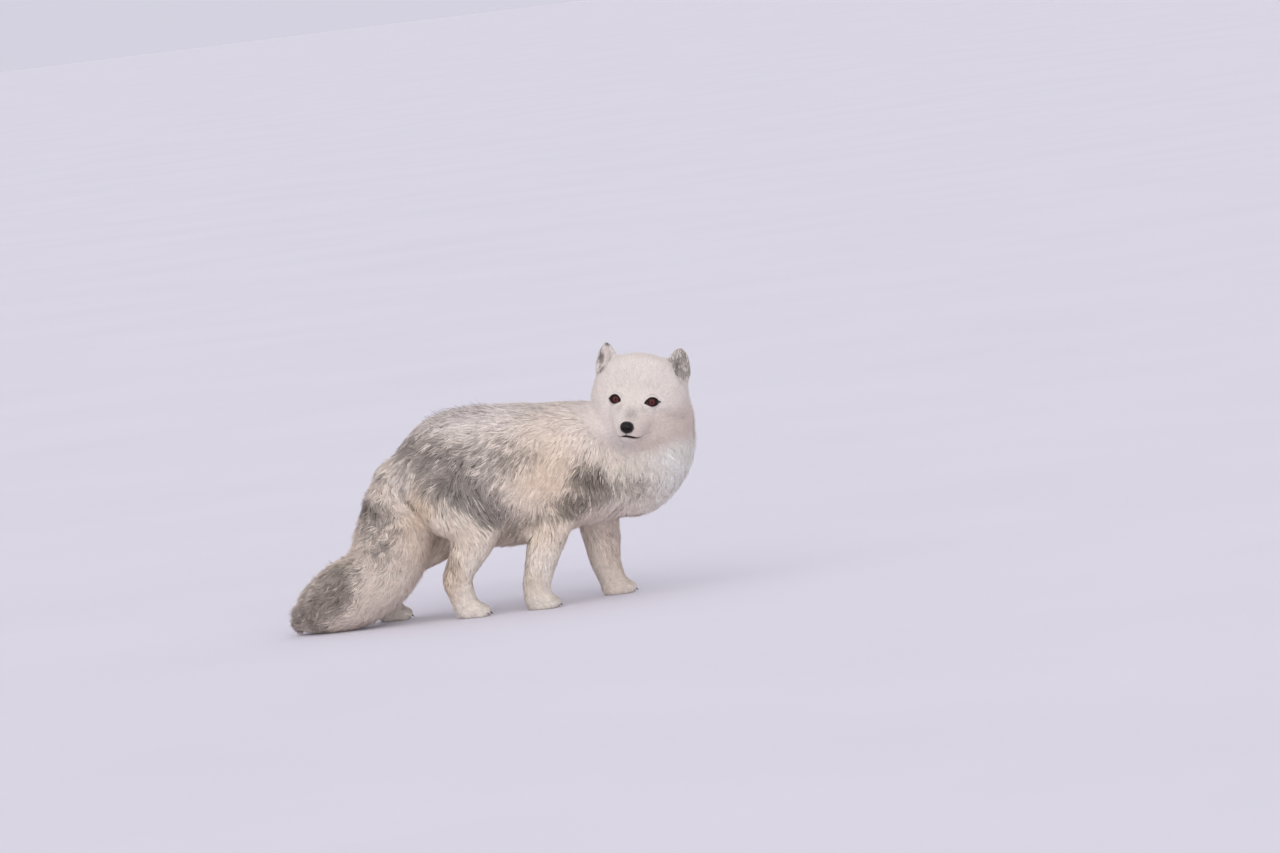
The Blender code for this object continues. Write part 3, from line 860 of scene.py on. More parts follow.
def flecked(name, flecks, inputs, relief=None):
    """A material in the piece's own colours, with flecks: a noise's scale and detail, the darkest and the
    lightest. The inputs are those of the shader, and the relief is the strength and depth of a bump."""
    material, tree, shader = new_material(name)
    scale, detail, low, high = flecks
    grain = noise(tree, scale, detail)
    own = tree.nodes.new("ShaderNodeAttribute")
    own.attribute_name = PAINT
    shade = ranged(tree, grain, low, high)
    colour = mixed_colours(tree, 1, own.outputs["Color"], shade, "MULTIPLY")
    connect(tree, shader, {**inputs, "Base Color": colour})
    if relief:
        connect(tree, shader, {"Normal": bump(tree, grain, *relief)})
    return material


def hair_material(name, scale):
    """Soft hair."""
    inputs = {"Roughness": 0.75, "Specular IOR Level": 0.12, "Sheen Weight": 0.05, "Sheen Roughness": 0.6}
    return flecked(name, (scale, 3.0, 0.92, 1.06), inputs)


def bare_material(name, roughness, scale, coat=0.0):
    """Bare skin or horn with a fine grain."""
    inputs = {"Roughness": roughness, "Specular IOR Level": 0.1, "Coat Weight": coat}
    return flecked(name, (scale, 3.0, 0.85, 1.12), inputs, (0.3, 0.2))


# ---------------------------------------------------------------- camera, light and floor

VIEW_MIDDLE = (0.2227, 0.0381, 0.2352)  # what the camera looks at, in metres
VIEW_WIDTH = 1.8176  # width of the picture at the fox, in metres
VIEW_ELEVATION, VIEW_ROLL = math.radians(4), math.radians(7)
LENS, SENSOR = 200.0, 36.0  # mm


def add_camera():
    """A long lens at the height of the fox, a little above it and rolled to the left."""
    look = Vector((0, math.cos(VIEW_ELEVATION), -math.sin(VIEW_ELEVATION)))
    level_up = Vector((0, math.sin(VIEW_ELEVATION), math.cos(VIEW_ELEVATION)))
    across = Vector((1, 0, 0))
    right = across * math.cos(VIEW_ROLL) - level_up * math.sin(VIEW_ROLL)
    up = across * math.sin(VIEW_ROLL) + level_up * math.cos(VIEW_ROLL)
    data = bpy.data.cameras.new("camera")
    data.lens = LENS
    data.sensor_width = SENSOR
    data.clip_end = 200
    camera = bpy.data.objects.new("camera", data)
    bpy.context.scene.collection.objects.link(camera)
    distance = VIEW_WIDTH * LENS / SENSOR
    axes = Matrix((right, up, -look)).transposed()
    camera.matrix_world = Matrix.Translation(Vector(VIEW_MIDDLE) - look * distance) @ axes.to_4x4()
    bpy.context.scene.camera = camera


FLOOR_RADIUS = 90.0
FLOOR_COLOUR = (0.835, 0.82, 0.905)
HORIZON = (0.66, 0.645, 0.745)  # the sky low down, as light as the floor
ZENITH = (0.66, 0.645, 0.68)
ZENITH_ABOVE = 0.45  # sine of the height from which the sky is as light as overhead
# Strength, how wide each light is and how it is turned in degrees, and its colour.
LIGHTS = {
    "soft_sun": (0.40, 50, (40, -16, -18), (1.0, 0.965, 0.92)),
    "soft_fill": (1.36, 70, (85, 0, 2), (1.0, 1.0, 1.0)),
    "glint": (0.10, 2.0, (58, 0, 16), (1.0, 1.0, 1.0)),
}


def add_light():
    """An overcast sky, two wide soft lights from above and from the front, and a small one for the eyes."""
    world = bpy.data.worlds.new("sky")
    world.use_nodes = True
    tree = world.node_tree
    place = add_node(tree, "TexCoord", {}).outputs["Generated"]
    split = add_node(tree, "SeparateXYZ", {"Vector": place})
    height = add_node(tree, "MapRange", {"From Max": ZENITH_ABOVE, "Value": split.outputs["Z"]})
    height.interpolation_type = "SMOOTHSTEP"
    sky = mixed_colours(tree, height.outputs["Result"], (*HORIZON, 1), (*ZENITH, 1))
    connect(tree, tree.nodes["Background"], {"Color": sky})
    scene = bpy.context.scene
    scene.world = world
    scene.view_settings.view_transform = "Standard"
    for name, (strength, width, turn, colour) in LIGHTS.items():
        light = bpy.data.lights.new(name, "SUN")
        light.energy = strength
        light.angle = math.radians(width)
        light.color = colour
        lamp = bpy.data.objects.new(name, light)
        lamp.rotation_euler = [math.radians(angle) for angle in turn]
        scene.collection.objects.link(lamp)


def add_floor():
    """A wide pale floor."""
    material, tree, shader = new_material("floor")
    shade = ranged(tree, noise(tree, 1.5), 0.97, 1.0)
    colour = mixed_colours(tree, 1, (*FLOOR_COLOUR, 1), shade, "MULTIPLY")
    connect(tree, shader, {"Base Color": colour, "Roughness": 0.9, "Specular IOR Level": 0.1})
    shape = bmesh.new()
    bmesh.ops.create_circle(shape, cap_ends=True, segments=96, radius=FLOOR_RADIUS)
    mesh = bpy.data.meshes.new("floor")
    shape.to_mesh(mesh)
    shape.free()
    mesh.materials.append(material)
    floor = bpy.data.objects.new("floor", mesh)
    bpy.context.scene.collection.objects.link(floor)


# ---------------------------------------------------------------- tufts

LIGHT_ALONG = (0.94, 0.995, 1.03)  # how light a tuft is at its root, half way and at its tip; the darker root is partly greyer underfur and partly painted shade deep in the coat
DARK_ALONG = (1.0, 1.0, 0.60)  # how much of a mark a tuft keeps there
TUFT_STEPS = 2  # points along a tuft less one
TUFT_FLAT = 0.24  # how thick a tuft is for its width
PALE_LOCKS = 0.13  # how many of the locks stay pale in the marks
SOFTNESS = 0.9  # how far its shading follows the body's instead of its own
WHIRL = 15 * MM  # how wide the whirls are in which neighbouring tufts bend together
UNDER_AHEAD = 1.8  # how far the shading of its underside turns towards its tip
LOCK_SPREAD = 0.15  # how wide a lock is at its end, as a part of its width at its root
TUFT_PATCH = 0.003  # how wide a tuft is on the bake map


class Coat:
    """Grows tufts on the skin."""

    def __init__(self, net):
        self.net = net
        self.tree = net.tree(net.points)
        a, b, c = net.points[net.triangles].transpose(1, 0, 2)
        self.middles = net.points[net.triangles].mean(1)
        self.areas = np.linalg.norm(np.cross(b - a, c - a), axis=1)
        self.region = net.region[net.triangles[:, 0]]

    def place(self, points):
        """The nearest place on the skin to each point: triangle, weights of its corners, and the place."""
        found = [self.tree.find_nearest(p) for p in points.tolist()]
        triangle = np.array([f[2] for f in found])
        spot = np.array([f[0] for f in found])
        a, b, c = self.net.points[self.net.triangles[triangle]].transpose(1, 0, 2)
        ab, ac, ap = b - a, c - a, spot - a
        d00, d01, d11 = np.sum(ab * ab, 1), np.sum(ab * ac, 1), np.sum(ac * ac, 1)
        d20, d21 = np.sum(ap * ab, 1), np.sum(ap * ac, 1)
        under = np.maximum(d00 * d11 - d01 * d01, 1e-20)
        v = np.clip((d11 * d20 - d01 * d21) / under, 0, 1)
        w = np.clip((d00 * d21 - d01 * d20) / under, 0, 1)
        weights = np.column_stack([np.maximum(1 - v - w, 0), v, w])
        return triangle, weights / weights.sum(1, keepdims=True), spot

    def read(self, field, triangle, weights):
        """A field of the skin's points, read on its triangles."""
        values = field[self.net.triangles[triangle]]
        if values.ndim == 2:
            return np.sum(values * weights, axis=1)
        return np.sum(values * weights[:, :, None], axis=1)

    def roots(self, here, count, draws, crowding):
        """Places for count tufts, spread over the triangles where here is true."""
        chosen = np.flatnonzero(here)
        share = self.areas[chosen] * crowding[chosen]
        edges = np.cumsum(share)
        marks = (np.arange(count) + draws.random(count)) / count * edges[-1]
        triangle = chosen[np.minimum(np.searchsorted(edges, marks), len(chosen) - 1)]
        a, b = draws.random((2, count))
        flip = a + b > 1
        a[flip], b[flip] = 1 - a[flip], 1 - b[flip]
        return triangle, np.column_stack([1 - a - b, a, b])


def blade_faces(rings):
    """The triangles of one blade, those of its underside first."""
    faces = []
    last = (rings - 1) * 3 + 1
    for j in range(3):
        k = (j + 1) % 3
        faces.append((0, 1 + j, 1 + k))
        for ring in range(rings - 1):
            a, b = 1 + ring * 3 + j, 1 + ring * 3 + k
            faces += [(b, a, a + 3), (b, a + 3, b + 3)]
        faces.append((last + k, last + j, rings * 3 + 1))
    return np.array(faces)


def spikes(lines, widths, ups, flat):
    """Closed three-sided blades along lines of points, pointed at both ends.

    lines is (blades, points, 3) and widths (blades, points - 2). Returns points, triangles and normals."""
    count, steps, _ = lines.shape
    rings = steps - 2
    along = unit(np.gradient(lines, axis=1))
    side = unit(np.cross(along, ups))
    lift = np.cross(side, along)
    points = np.empty((count, rings * 3 + 2, 3))
    normals = np.empty_like(points)
    for number, (across, up) in enumerate(((-0.5, 0.0), (0.5, 0.0), (0.0, flat))):
        offset = side[:, 1:-1] * across + lift[:, 1:-1] * up
        points[:, 1 + number : -1 : 3] = lines[:, 1:-1] + offset * widths[:, :, None]
        normals[:, 1 + number : -1 : 3] = unit(side[:, 1:-1] * across + lift[:, 1:-1] * (up - flat / 3))
    points[:, 0], normals[:, 0] = lines[:, 0], -along[:, 0]
    points[:, -1], normals[:, -1] = lines[:, -1], along[:, -1]
    faces = blade_faces(rings)[None] + np.arange(count)[:, None, None] * points.shape[1]
    return points, faces.reshape(-1, 3), normals


def point_steps(steps):
    """For each point of a blade, the number of the point of its line that it stands at."""
    return [0] + np.repeat(np.arange(1, steps - 1), 3).tolist() + [steps - 1]


def soften(piece, own, lines, ups, softness):
    """Shades the tufts like the body under them, and their undersides the way that they point."""
    steps = lines.shape[1]
    place = point_steps(steps)
    above = unit(mixed(own, ups[:, place], softness))
    below = unit(unit(np.gradient(lines, axis=1)) * UNDER_AHEAD - ups)[:, place]
    corners = blade_faces(steps - 2)
    under = np.arange(len(corners)) < (steps - 2) * 2
    normals = np.where(under[None, :, None, None], below[:, corners], above[:, corners])
    piece.data.normals_split_custom_set(normals.reshape(-1, 3))


def tuft_lines(coat, triangle, weights, draws, settings):
    """The middle line of each tuft, in metres, and the way out of the body at each of its points."""
    net = coat.net
    sizes = coat.read(net.sizes, triangle, weights)
    count = len(triangle)
    length = sizes[:, 1] * MM * draws.uniform(0.75, 1.2, count)
    root = coat.read(net.points, triangle, weights)
    whirls = 2.0 * blotches(root, settings["whirl"], 21)
    turn = (settings["stray"] * (draws.normal(0, 0.5, count) + whirls))[:, None]
    feet, covers = [root], [coat.read(net.cover, triangle, weights)]
    spot, spot_triangle, spot_weights = root, triangle, weights
    for _ in range(TUFT_STEPS):
        way = unit(coat.read(net.way, spot_triangle, spot_weights))
        out = unit(coat.read(net.cover, spot_triangle, spot_weights))
        way = way * np.cos(turn) + unit(np.cross(out, way)) * np.sin(turn)
        spot = spot + way * (length / TUFT_STEPS * 0.9)[:, None]
        spot_triangle, spot_weights, spot = coat.place(spot)
        feet.append(spot)
        covers.append(coat.read(net.cover, spot_triangle, spot_weights))
    rise = 1 - (1 - np.linspace(0, 1, TUFT_STEPS + 1)) ** 1.7
    fill = draws.uniform(*settings["fill"], count)
    loose = draws.random(count) < settings["loose"]
    fill = np.where(loose, fill * draws.uniform(1.08, 1.42, count), fill)
    feet, covers = np.stack(feet, 1), np.stack(covers, 1)
    lines = feet + covers * (rise * fill[:, None])[:, :, None]
    return lines, unit(covers), length, sizes[:, 2] * MM


def gather_locks(lines, ups, length, waves, draws, settings):
    """Draws the tufts' ends together into locks, and curls the locks. Also returns each tuft's lock."""
    count, steps = lines.shape[:2]
    leaders = np.arange(0, count, settings["lock"])
    t = np.linspace(0, 1, steps)
    bend, wave = draws.normal(0, 0.45, (2, len(leaders)))
    bend += 2.0 * blotches(lines[leaders, 0], settings["whirl"], 22)
    wave += 1.6 * blotches(lines[leaders, 0], settings["whirl"], 23)
    tree = KDTree(len(leaders))
    for number, leader in enumerate(leaders):
        tree.insert(lines[leader, 0], number)
    tree.balance()
    lock = np.array([tree.find(root)[1] for root in lines[:, 0].tolist()])
    ahead = unit(lines[leaders, -1] - lines[leaders, 0])
    across = np.cross(ups[leaders, 0], ahead)
    curl = settings["curl"] * (length * waves)[leaders]
    swing = bend[:, None] * t[None] ** 2 + 0.6 * wave[:, None] * np.sin(t[None] * math.pi * 1.4)
    guide = lines[leaders] + across[:, None] * (swing * curl[:, None])[:, :, None]
    pull = t**1.3 * settings["pull"] * draws.uniform(0.5, 1.15, count)[:, None]
    beside = lines[:, 0] - lines[leaders][lock, 0]
    behind = ahead[lock] * np.sum(beside * ahead[lock], axis=1, keepdims=True)
    follow = guide[lock] + (behind + (beside - behind) * LOCK_SPREAD)[:, None]
    return mixed(lines, follow, pull[:, :, None]), lock


def filled_square(places):
    """Places spread to fill the square of a map."""
    low, high = places.min(0), places.max(0)
    return 0.01 + 0.98 * (places - low) / np.maximum(high - low, 1e-9)


def add_bake_map(piece, roots_uv, rings):
    """The bake map: each tuft is a small patch at its root's place on the unwrap."""
    layer = piece.data.uv_layers.new(name="OFBake")
    inner = np.zeros((rings * 3 + 2, 2))
    inner[0] = 0, -0.5
    for ring in range(rings):
        for corner in range(3):
            inner[1 + ring * 3 + corner] = (corner - 1) / 2, (ring + 1) / (rings + 1) - 0.5
    inner[-1] = 0, 0.5
    places = (roots_uv[:, None] + inner[None] * TUFT_PATCH).reshape(-1, 2)
    corners = np.zeros(len(piece.data.loops), np.int32)
    piece.data.loops.foreach_get("vertex_index", corners)
    layer.uv.foreach_set("vector", places[corners].astype(np.float32).ravel())


def tuft_colours(pale, dark, brown, lock, draws, settings):
    """A colour for each point along each tuft."""
    count, locks = len(pale), lock.max() + 1
    lock_tone = draws.normal(0, 1, locks)[lock]
    own_tone = draws.normal(0, 1, count)
    spared = 0.5 * draws.random(locks)[lock] + 0.5 * draws.random(count)
    spared += 0.6 * (draws.random(locks) < PALE_LOCKS)[lock]
    if settings["streaky"]:
        share = np.clip((dark * 1.35 - spared * 0.8) * 1.9, 0, 0.45 + 0.5 * dark)
    else:
        share = np.clip(dark * (0.6 + 0.6 * spared), 0, 0.94)
    share = share[:, None] * DARK_ALONG
    ink = mixed(GREY, DARK, brown[:, None]) * np.exp(0.30 * lock_tone + 0.25 * own_tone)[:, None]
    # the tone of lock and tuft, darker at the root: partly painted shade deep in the coat
    light = (1 + settings["tone"] * (lock_tone + 0.8 * own_tone))[:, None] * LIGHT_ALONG
    return mixed(pale[:, None] * light[:, :, None], ink[:, None], share[:, :, None])


ROOT_UNDER = 0.6 * MM  # how far the roots go into the skin
LOWEST_LINE, LOWEST_POINT = 0.5 * MM, 0.3 * MM  # above the floor


def grow(coat, name, slot, material, here, count, draws, settings, crowding, unwrap):
    """One piece of the coat: count tufts rooted where here is true."""
    net = coat.net
    triangle, weights = coat.roots(here, count, draws, crowding)
    roots, pale, dark, brown = (
        coat.read(field, triangle, weights) for field in (net.points, net.pale, net.dark, net.brown)
    )
    lines, ups, length, width = tuft_lines(coat, triangle, weights, draws, settings)
    lines, lock = gather_locks(lines, ups, length, 0.8 + 1.2 * dark, draws, settings)
    lines[:, 0] -= ups[:, 0] * ROOT_UNDER
    lines[..., 2] = np.maximum(lines[..., 2], LOWEST_LINE)
    widths = (width * draws.uniform(0.75, 1.2, count))[:, None]
    roll = draws.normal(0, 0.22, (count, 1, 1))
    leaned = unit(ups + np.cross(unit(np.gradient(lines, axis=1)), ups) * roll)
    points, faces, own = spikes(lines, widths, leaned, TUFT_FLAT)
    points[..., 2] = np.maximum(points[..., 2], LOWEST_POINT)
    piece = add_mesh(name, points.reshape(-1, 3), faces, slot, material)
    soften(piece, own, lines, ups, settings["softness"])
    colours = tuft_colours(pale, dark, brown, lock, draws, settings)
    paint(piece, colours[:, point_steps(lines.shape[1])])
    add_bake_map(piece, filled_square(unwrap(roots)), 1)


# Settings of each sort of coat: how far tufts stray, how many make a lock, how far they are drawn into it,
# how it curls, how much of the coat's depth they rise through, how many stand loose, how wide the whirls are,
# how far the shading follows the body's, whether marks are streaky, and how much the tone varies.
LONG = dict(
    stray=0.15, lock=7, pull=0.62, curl=0.18, fill=(0.80, 1.03), loose=0.12,
    whirl=WHIRL, softness=SOFTNESS, streaky=True, tone=0.06,
)
SHAGGY = dict(LONG, stray=0.22, lock=9, pull=0.66, curl=0.42, fill=(0.78, 1.06), loose=0.16, whirl=11 * MM)
BRUSH = dict(LONG, stray=0.30, pull=0.58, curl=0.42, fill=(0.78, 1.05), loose=0.16, whirl=12 * MM)
SHORT = dict(LONG, stray=0.16, pull=0.22, curl=0.08, fill=(0.84, 1.0), loose=0.03, softness=0.96,
             streaky=False, tone=0.036)
EAR = dict(LONG, stray=0.16, lock=5, pull=0.45, curl=0.12, fill=(0.84, 1.2), loose=0.04, softness=0.94)
LEGGY = dict(LONG, stray=0.18, lock=8, pull=0.26, curl=0.12, fill=(0.82, 1.02), loose=0.10, softness=0.92)

TUFTS = {"trunk": 60000, "neck": 41000, "tail": 40000, "head": 59000, "ear": 8000, "leg": 36000}


def round_axis(origin, along, over):
    """An unwrap for the bake map: the turn round an axis, and the distance along it."""
    along, over = np.array(along, float), np.array(over, float)

    def unwrap(points):
        out = points - np.array(origin)
        turn = np.arctan2(out @ np.cross(along, over), out @ over)
        return np.column_stack([turn, out @ along])

    return unwrap


def round_line(line):
    """An unwrap round the middle line of the brush."""

    def unwrap(points):
        middle, along = line.nearest(points)
        out, over = points - middle, np.array((0, 1, 0))
        turn = np.arctan2(np.sum(out * np.cross(along, over), axis=1), out @ over)
        return np.column_stack([turn, points @ line.direction])

    return unwrap


def add_coat(net):
    """All the pieces of the coat."""
    coat = Coat(net)
    region, middles = coat.region, coat.middles
    head = to_head(middles)
    sizes = coat.read(net.sizes, np.arange(len(middles)), np.full((len(middles), 3), 1 / 3))
    crowding = (sizes[:, 1] * sizes[:, 2]) ** -0.75 * clear_of_features(head)
    room = coat.areas * crowding
    scales = {"body": 260, "head": 420, "leg": 380, "brush": 260}
    hair = {name: hair_material("coat_" + name, scale) for name, scale in scales.items()}
    share = 1.0
    seeds = iter(range(100, 200))
    up, forward = (0, 0, 1), (1, 0, 0)

    def piece(name, slot, material, here, of, tufts, settings, unwrap):
        count = int(tufts * (room[here].sum() / room[of].sum()) * share)
        draws = np.random.default_rng(next(seeds))
        name, slot, material = "coat_" + name, "coat_" + slot, hair[material]
        grow(coat, name, slot, material, here, count, draws, settings, crowding, unwrap)

    on_trunk = on(region, "trunk")
    low, high = (np.array(corner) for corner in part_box("trunk"))
    middle = (low + high) / 2
    around = round_axis(middle, forward, up)
    for side, sign in SIDES.items():
        on_side = on_trunk & ((middles[:, 1] - middle[1]) * sign > 0)
        for end, front in (("fore", 1), ("hind", -1)):
            here = on_side & ((middles[:, 0] - middle[0]) * front > 0)
            piece(f"trunk_{end}_{side}", "body", "body", here, on_trunk, TUFTS["trunk"], LONG, around)
    on_neck = on(region, "neck")
    middle = node_middle("neck")
    around = round_axis(middle, up, forward)
    for end, front in (("fore", 1), ("hind", -1)):
        here = on_neck & ((middles[:, 0] - middle[0]) * front > 0)
        piece(f"neck_{end}", "body", "body", here, on_neck, TUFTS["neck"], SHAGGY, around)
    on_head = on(region, "head")
    around = round_axis(HEAD_ORIGIN, HEAD_AXES[0], HEAD_AXES[2])
    for side, sign in SIDES.items():
        here = on_head & (head[:, 1] * sign > 0)
        piece(f"head_{side}", "head", "head", here, on_head, TUFTS["head"], SHORT, around)
    for side in SIDES:
        here = on_ear(region, head, side)
        around = round_axis(middles[here].mean(0), HEAD_AXES[2], HEAD_AXES[0])
        piece(f"ear_{side}", "ear", "head", here, on(region, "ear"), TUFTS["ear"], EAR, around)
    around = round_line(net.lines["tail"])
    for name, slot in (("tail_root", "brush"), ("tail", "brush"), ("tail_end", "brush_end")):
        piece(name, slot, "brush", on(region, name), on(region, *TAIL), TUFTS["tail"], BRUSH, around)
    for leg in PAWS:
        for side in SIDES:
            here = on_limb(middles, region, leg, side, 4)
            around = round_axis(middles[here].mean(0), up, forward)
            piece(f"{leg}_{side}", "leg", "leg", here, on(region, *LEG), TUFTS["leg"], LEGGY, around)


# Round each feature, the mm between which the bare skin ends and the tufts begin.
NOSE_CLEAR, NOSE_BARE = (8.0, 9.5), (8.4, 9.6)
NOSE_WIDER = (1.0, 1.15, 1.0)
EYE_CLEAR, CORNER_CLEAR, LIP_CLEAR = (9.5, 11.5), (3.4, 4.6), (2.0, 3.0)
CORNER_BELOW = 1.8  # mm that the inner corner of the eye lies below the eye's middle
LIP_SPOTS, LIP_OPEN = 30, 14  # spots along the mouth, and how many of them are bare


def clear_of_features(head):
    """0 where no tufts grow: on the eyes, their rims, the nose and the lips."""
    free = smooth(away_from(head / NOSE_WIDER, NOSE_AT / NOSE_WIDER), *NOSE_CLEAR)
    for side, eye in EYES.items():
        free = free * smooth(away_from(head, eye), *EYE_CLEAR)
        _, left, up = lid_axes(side)
        corner = -SIDES[side] * LID_WIDTH[side] * (1.05 + LID_CORNERS[side][0])
        away = np.hypot((head - eye) @ left - corner, (head - eye) @ up + CORNER_BELOW)
        free = np.where((head - eye)[:, 0] > 0, free * smooth(away, *CORNER_CLEAR), free)
    for sign in SIDES.values():
        for spot in mirrored(drawn_line(MOUTH, LIP_SPOTS)[:LIP_OPEN], sign):
            free = free * smooth(away_from(head, spot), *LIP_CLEAR)
    return free


def bare_share(head):
    """1 on the dark skin round the eyeballs and the nose, and 0 away from them."""
    bare = 1 - smooth(away_from(head / NOSE_WIDER, NOSE_AT / NOSE_WIDER), *NOSE_BARE)
    for side, eye in EYES.items():
        axis, left, up = lid_axes(side)
        across, over = (head - eye) @ left / (LID_WIDTH[side] * 1.35), (head - eye) @ up / LID_ABOVE
        inside = 1 - smooth(np.hypot(across, over), 0.8, 1.0)
        bare = np.maximum(bare, inside * ((head - eye) @ axis > 0))
    return bare


# ---------------------------------------------------------------- face, claws and guard hairs


def eased(line, times):
    """A line with its inner points smoothed."""
    for _ in range(times):
        line[1:-1] = (line[:-2] + line[1:-1] * 2 + line[2:]) / 4
    return line


def drawn_line(places, count):
    """Points evenly along a smooth line through places."""
    places = np.array(places, float)
    steps = np.concatenate([[0], np.cumsum(np.linalg.norm(np.diff(places, axis=0), axis=1))])
    return eased(by_tables(np.linspace(0, steps[-1], count), steps, places.T), 3)


def wrapped(grid, first=None, last=None):
    """Points and triangles of a grid that closes on itself sideways, with a point at either end if given."""
    rows, columns = grid.shape[:2]
    number = np.arange(rows * columns).reshape(rows, columns)
    after = np.roll(number, -1, axis=1)
    a, b, c, d = number[:-1], after[:-1], number[1:], after[1:]
    faces = [np.stack(corners, -1).reshape(-1, 3) for corners in ((a, c, d), (a, d, b))]
    points = [grid.reshape(-1, 3)]
    for pole, (start, end) in ((first, (number[0], after[0])), (last, (after[-1], number[-1]))):
        if pole is not None:
            faces.append(np.stack([np.full(columns, sum(map(len, points))), start, end], -1))
            points.append(np.array([pole]))
    return np.concatenate(points), np.concatenate(faces)


def tubes(lines, radii, ups, sides=6):
    """Closed round tubes along lines of points, as one set of points and triangles."""
    along = unit(np.gradient(lines, axis=1))
    side = unit(np.cross(along, ups))
    lift = np.cross(side, along)
    turns = -np.arange(sides) * math.tau / sides
    ring = side[:, :, None] * np.cos(turns)[:, None] + lift[:, :, None] * np.sin(turns)[:, None]
    grids = lines[:, :, None] + ring * np.asarray(radii)[..., None, None]
    return stacked(wrapped(grid, line[0], line[-1]) for grid, line in zip(grids, lines))


def facing(axis):
    """An axis of length one, and the two directions square to it: to the fox's left, and up."""
    axis = unit(np.array(axis, float))
    up = unit(np.array((0, 0, 1.0)) - axis * axis[2])
    return axis, np.cross(up, axis), up


GAZE = (0.95, 0.17, 0.27)  # the way both eyes look, in the head's frame
CORNEA_WIDTH, CORNEA_HEIGHT = 6.4, 0.5
IRIS, LIMBUS = 4.5, 5.3
PUPIL = (1.35, 2.0)  # half-width and half-height
IRIS_COLOUR, IRIS_INNER = (0.080, 0.014, 0.014), (0.118, 0.035, 0.031)
EYE_DARK = (0.010, 0.007, 0.007)


EYE_FRONT = 1.2  # radians from the axis within which the cornea and the iris lie
IRIS_BROWN, PUPIL_EDGE = (2.0, 4.0), (0.85, 1.15)


def add_eye(side, material):
    """An eyeball with its cornea, iris and pupil."""
    axis, left, up = facing(GAZE)
    lean = np.concatenate([np.linspace(0.012, 1.0, 44), np.linspace(1.06, math.pi - 0.05, 16)])
    turn = np.arange(96) * math.tau / 96
    ring = EYE_RADIUS * np.sin(lean)
    bulge = CORNEA_HEIGHT * np.clip(1 - (ring / CORNEA_WIDTH) ** 2, 0, 1) * (lean < EYE_FRONT)
    front = EYE_RADIUS * np.cos(lean) + bulge
    around = left * np.cos(turn)[:, None] + up * np.sin(turn)[:, None]
    grid = EYES[side] + axis * front[:, None, None] + around * ring[:, None, None]
    ends = EYES[side] + axis * (EYE_RADIUS + CORNEA_HEIGHT), EYES[side] - axis * EYE_RADIUS
    points, faces = wrapped(grid, *ends)
    piece = add_mesh("eyeball_" + side, from_head(points), faces, "eye", material)
    fibres = (np.sin(turn * 23) + np.sin(turn * 41 + 1) + np.sin(turn * 67 + 2)) / 3
    colour = mixed(IRIS_INNER, IRIS_COLOUR, smooth(ring, *IRIS_BROWN)[:, None, None])
    colour = colour * (1 + 0.3 * fibres)[:, None]
    ring = ring[:, None]
    off_pupil = np.hypot(ring * np.cos(turn) / PUPIL[0], ring * np.sin(turn) / PUPIL[1])
    light = smooth(off_pupil, *PUPIL_EDGE) * (1 - smooth(ring, IRIS - 0.6, LIMBUS))
    light = light * (lean < EYE_FRONT)[:, None]
    colour = mixed(EYE_DARK, colour, light[:, :, None])
    paint(piece, np.concatenate([colour.reshape(-1, 3), [EYE_DARK, EYE_DARK]]))
    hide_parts("eye_" + side)


# Half the width of each opening, in mm, and how far its inner and outer corners are drawn out.
LID_WIDTH = {"left": 7.7, "right": 6.7}
LID_CORNERS = {"left": (0.22, 0.42), "right": (0.10, 0.30)}
LID_ABOVE, LID_BELOW = 5.9, 5.3
LID_AXIS = (0.90, 0.12, 0.25)  # the way the openings face, before each turns outwards
LID_TURN = 0.20
LID_RINGS = ((0.95, -0.1), (1.0, 0.45), (1.07, 0.85), (1.18, 0.8))  # size, and height over the eyeball in mm
LID_DARK, LID_PINK = (0.013, 0.009, 0.009), (0.115, 0.050, 0.044)
# The rings that go on under the coat: size, and how far they may drop from the rim and lie under the skin.
LID_SKIRT = ((1.32, 2.5, -0.5), (1.52, 5.0, -0.2), (1.85, 99.0, 0.9))
LID_DARKNESS = (0.9, 1, 1, 1, 0.1, 0, 0)  # of each ring
LID_ROSY = (0, 0.6, 0.6, 0, 0, 0, 0)  # of each ring of the lower lid
HAW = 0.42  # how far the dark fold in the inner corner reaches over the eye


def lid_axes(side):
    """The way that an eye's opening faces, and the two directions square to it."""
    return facing(np.array(LID_AXIS) + (0, LID_TURN * SIDES[side], 0))


def skin_height(tree, side, offset, axis):
    """How far the skin stands along an eye's axis, at places round the eyeball's middle."""
    far, missed = 30.0, -8.0
    heights = []
    for spot in from_head(EYES[side] + offset + axis * far):
        hit = tree.ray_cast(spot.tolist(), (-axis @ HEAD_AXES).tolist())
        heights.append(far - hit[3] / MM if hit[3] is not None else missed)
    heights = np.array(heights)
    for _ in range(3):
        heights = (np.roll(heights, 1) + heights * 2 + np.roll(heights, -1)) / 4
    return heights


